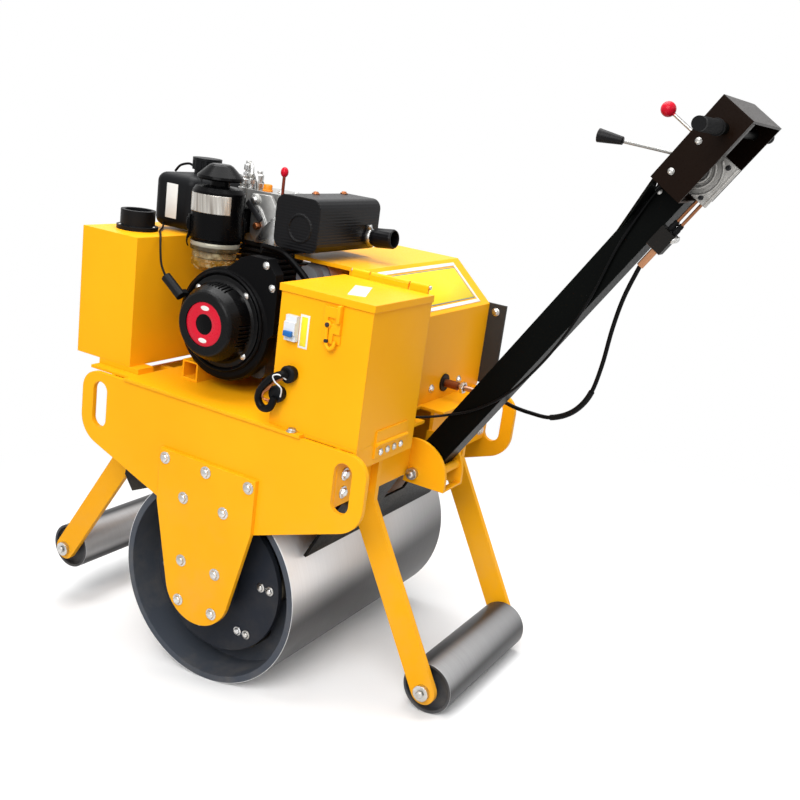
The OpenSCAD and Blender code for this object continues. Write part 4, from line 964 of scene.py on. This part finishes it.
def add_box_details():
    toggle = bmesh.new()
    block(toggle, (-160, 321.5, 757), (-142, 328, 767), HERE, 1.2)
    piece(toggle, "breaker_toggle", "frame", BLUE)

    border = bmesh.new()
    block(border, (-184, BOX_Y, 738), (-164, BOX_Y + 0.8, 799), HERE, 0.3)
    piece(border, "sticker_border", "frame", LABEL)
    face = bmesh.new()
    block(face, (-180.5, BOX_Y + 0.5, 742), (-167.5, BOX_Y + 1.2, 795), HERE, 0.2)
    piece(face, "sticker_face", "frame", STICKER)

    hook = bmesh.new()
    tube(hook, route([(-226, 312, 800), (-226, 317, 790), (-227, 317, 770), (-229, 318, 760),
                      (-236, 318, 753), (-243, 317, 758), (-244, 315, 768)], 5), 3.4, 10)
    block(hook, (-252, BOX_Y, 800), (-246, BOX_Y + 13, 832), HERE, 1.0)
    lathe(hook, [(0, 0), (6, 0), (6, 6), (4, 8), (0, 8)], facing((-228, 311, 795), Y), 20)
    piece(hook, "latch_hook", "frame", YELLOW)

    rivets = bmesh.new()
    for y, z in ((319, 795), (317, 766)):
        lathe(rivets, [(0, 0), (4.2, 0), (4.2, 2), (3, 4), (0, 4.4)], facing((-228, y, z), Y), 20)
    piece(rivets, "latch_rivets", "frame", DARK_CAST)

    loop = bmesh.new()
    tube(loop, route([(-159, 324, 688), (-151, 332, 688), (-130, 333, 675), (-112, 332, 654),
                      (-105, 330, 632), (-116, 330, 617), (-134, 332, 622), (-139, 328, 642)],
                     6), 7.0, 14)
    piece(loop, "plug_cable", "frame", CABLE)

    wires = bmesh.new()
    for shift in (0, 4):
        tube(wires, route([(-152, 326, 684 - shift), (-137, 334, 668), (-128 + shift, 335, 654),
                           (-118, 334, 648 - shift), (-117, 332, 636),
                           (-130, 328, 634 - shift)], 6), 1.8, 8)
    piece(wires, "plug_wires", "frame", COPPER)

    earth = bmesh.new()
    tube(earth, route([(-160, 327, 680), (-152, 339, 689), (-140, 340, 684), (-145, 339, 674),
                       (-157, 335, 664), (-152, 328, 646)], 6), 1.4, 8)
    piece(earth, "plug_earth_wire", "frame", WHITE)

    label = bmesh.new()
    turn = Matrix.Translation((-227, 223, LID_Z - 0.2)) @ Matrix.Rotation(math.radians(25), 4, "Z")
    block(label, (-16, -50, 0), (16, 50, 0.9), turn, 0.25)
    piece(label, "lid_label", "lid", LABEL)

    pin = bmesh.new()
    tube(pin, [Vector((x, HINGE_Y, HINGE_Z)) for x in (-302, -215, -128)], 2.3, 12)
    for x in (-303, -130):
        lathe(pin, [(0, 0), (4, 0), (4, 2.5), (0, 3)], facing((x, HINGE_Y, HINGE_Z), X), 16)
    piece(pin, "lid_hinge_pin", "frame", ZINC)


def add_hood_details():
    slope = math.atan2(HOOD_TOP - HOOD_LIP, HOOD_BEND - HOOD_REAR)
    middle = ((HOOD_REAR + HOOD_BEND) / 2, -118, (HOOD_TOP + HOOD_LIP) / 2)
    plane = Matrix.Translation(middle) @ Matrix.Rotation(-slope, 4, "Y")
    for name, half_x, half_y, width, material, slot in (
            ("hood_panel_frame", 50, 158, 8, LABEL, "white_matte_plastic"),
            ("hood_panel_line", 41, 149, 1.8, BLUE_LINE, "dark_painted_metal")):
        bm = bmesh.new()
        half = width / 2
        for s in (-1, 1):
            block(bm, (s * half_x - half, -half_y - half, 0),
                  (s * half_x + half, half_y + half, 0.9), plane, 0.25)
            block(bm, (-half_x + half, s * half_y - half, 0),
                  (half_x - half, s * half_y + half, 0.9), plane, 0.25)
        piece(bm, name, "frame", material)

    # Panel face inside the frame: a real panel whose lemon sheet is also a painted highlight,
    # lighter where the slope takes strong light
    face = bmesh.new()
    block(face, (-40, -148, 0), (40, 148, 0.6), plane, 0.2)
    piece(face, "hood_panel_face", "frame", LEMON)

    bm = bmesh.new()
    for y in (-86, -211):
        bolt(bm, (HOOD_REAR, y, 612), -X, 7.0)
    bolt(bm, (-258, -316, 757), Y, 7.0)
    lathe(bm, [(9, 0), (13, 0), (13, 7), (9, 7), (9, 0)],
          facing((HOOD_REAR - 44, GLAND_Y, GLAND_Z), -X), 6)
    piece(bm, "hood_bolts", "frame", ZINC)


# Handle details, in the arm's own frame

def add_handle_details():
    screws = bmesh.new()
    for u in (776, 838):
        stud(screws, (10, HEAD_NEAR_Y, u), Y, 4.6)
        stud(screws, (10, HEAD_FAR_Y, u), -Y, 4.6)
    for y in (16, 36):
        bolt(screws, (-58, y, 686), -X, 5.5)
    for v in ROD_PLACES:
        bolt(screws, (v, CLAMP_Y, 692), Z, 5.5, washer=False)
    bolt(screws, (18, 28, 727), Y, 4.0)
    piece(screws, "handle_bolts", "handle", ZINC, ARM)

    boots = bmesh.new()
    for v in ROD_PLACES:
        lathe(boots, [(0, 693), (5.6, 693), (5.6, 702), (4.6, 704), (5.2, 708), (4.4, 712),
                      (0, 712)], Matrix.Translation((v, CLAMP_Y, 0)), 18)
    piece(boots, "clamp_boots", "handle", RUBBER, ARM)

    fold = bmesh.new()
    block(fold, (-34, 74, 843), (-31, 97, 908), HERE, 0.8)
    piece(fold, "head_folded_edge", "handle", GREY_PLATE, ARM)

    ribs = bmesh.new()
    centre = Vector((-6.5, PLATE_Y, 795))
    for radius in (20, 29, 41):
        points = [centre + radius * Vector((-math.sin(a), 0, math.cos(a)))
                  for a in (math.radians(t) for t in range(30, 151, 8))]
        tube(ribs, points, 2.6, 10)
    block(ribs, (-57, PLATE_Y - 1, 758.5), (-53, PLATE_Y + 1.6, 837.5), HERE, 0.6)
    piece(ribs, "lever_plate_ribs", "handle", DIE_CAST, ARM)

    dark = bmesh.new()
    for u in (766, 829):
        stud(dark, (-41.5, PLATE_Y, u), Y, 3.6)
    piece(dark, "lever_plate_screws", "handle", DARK_CAST, ARM)

    rings = bmesh.new()
    for side in (1, -1):
        for i in range(18):
            where = facing((GRIP_V, side * (150 + 5 * i), GRIP_U), side * Y)
            lathe(rings, [(10.7, 0), (11.4, 0.8), (11.4, 2.2), (10.7, 3), (10.7, 0)], where, 28)
        lathe(rings, [(9.4, 0), (13, 0), (13.5, 1), (13.5, 4), (12, 5), (9.4, 5), (9.4, 0)],
              facing((GRIP_V, side * 143, GRIP_U), side * Y), 32)
    piece(rings, "grip_rings", "handle", RUBBER, ARM)


add_camera()
add_world()
add_floor()
add_lamps()
add_cables()
dress_solids()
add_frame_bolts()
add_frame_plates()
add_hub_nuts()
add_recoil_details()
add_air_cleaner_details()
add_head_fittings()
add_muffler_details()
add_engine_lines()
add_box_details()
add_hood_details()
add_handle_details()
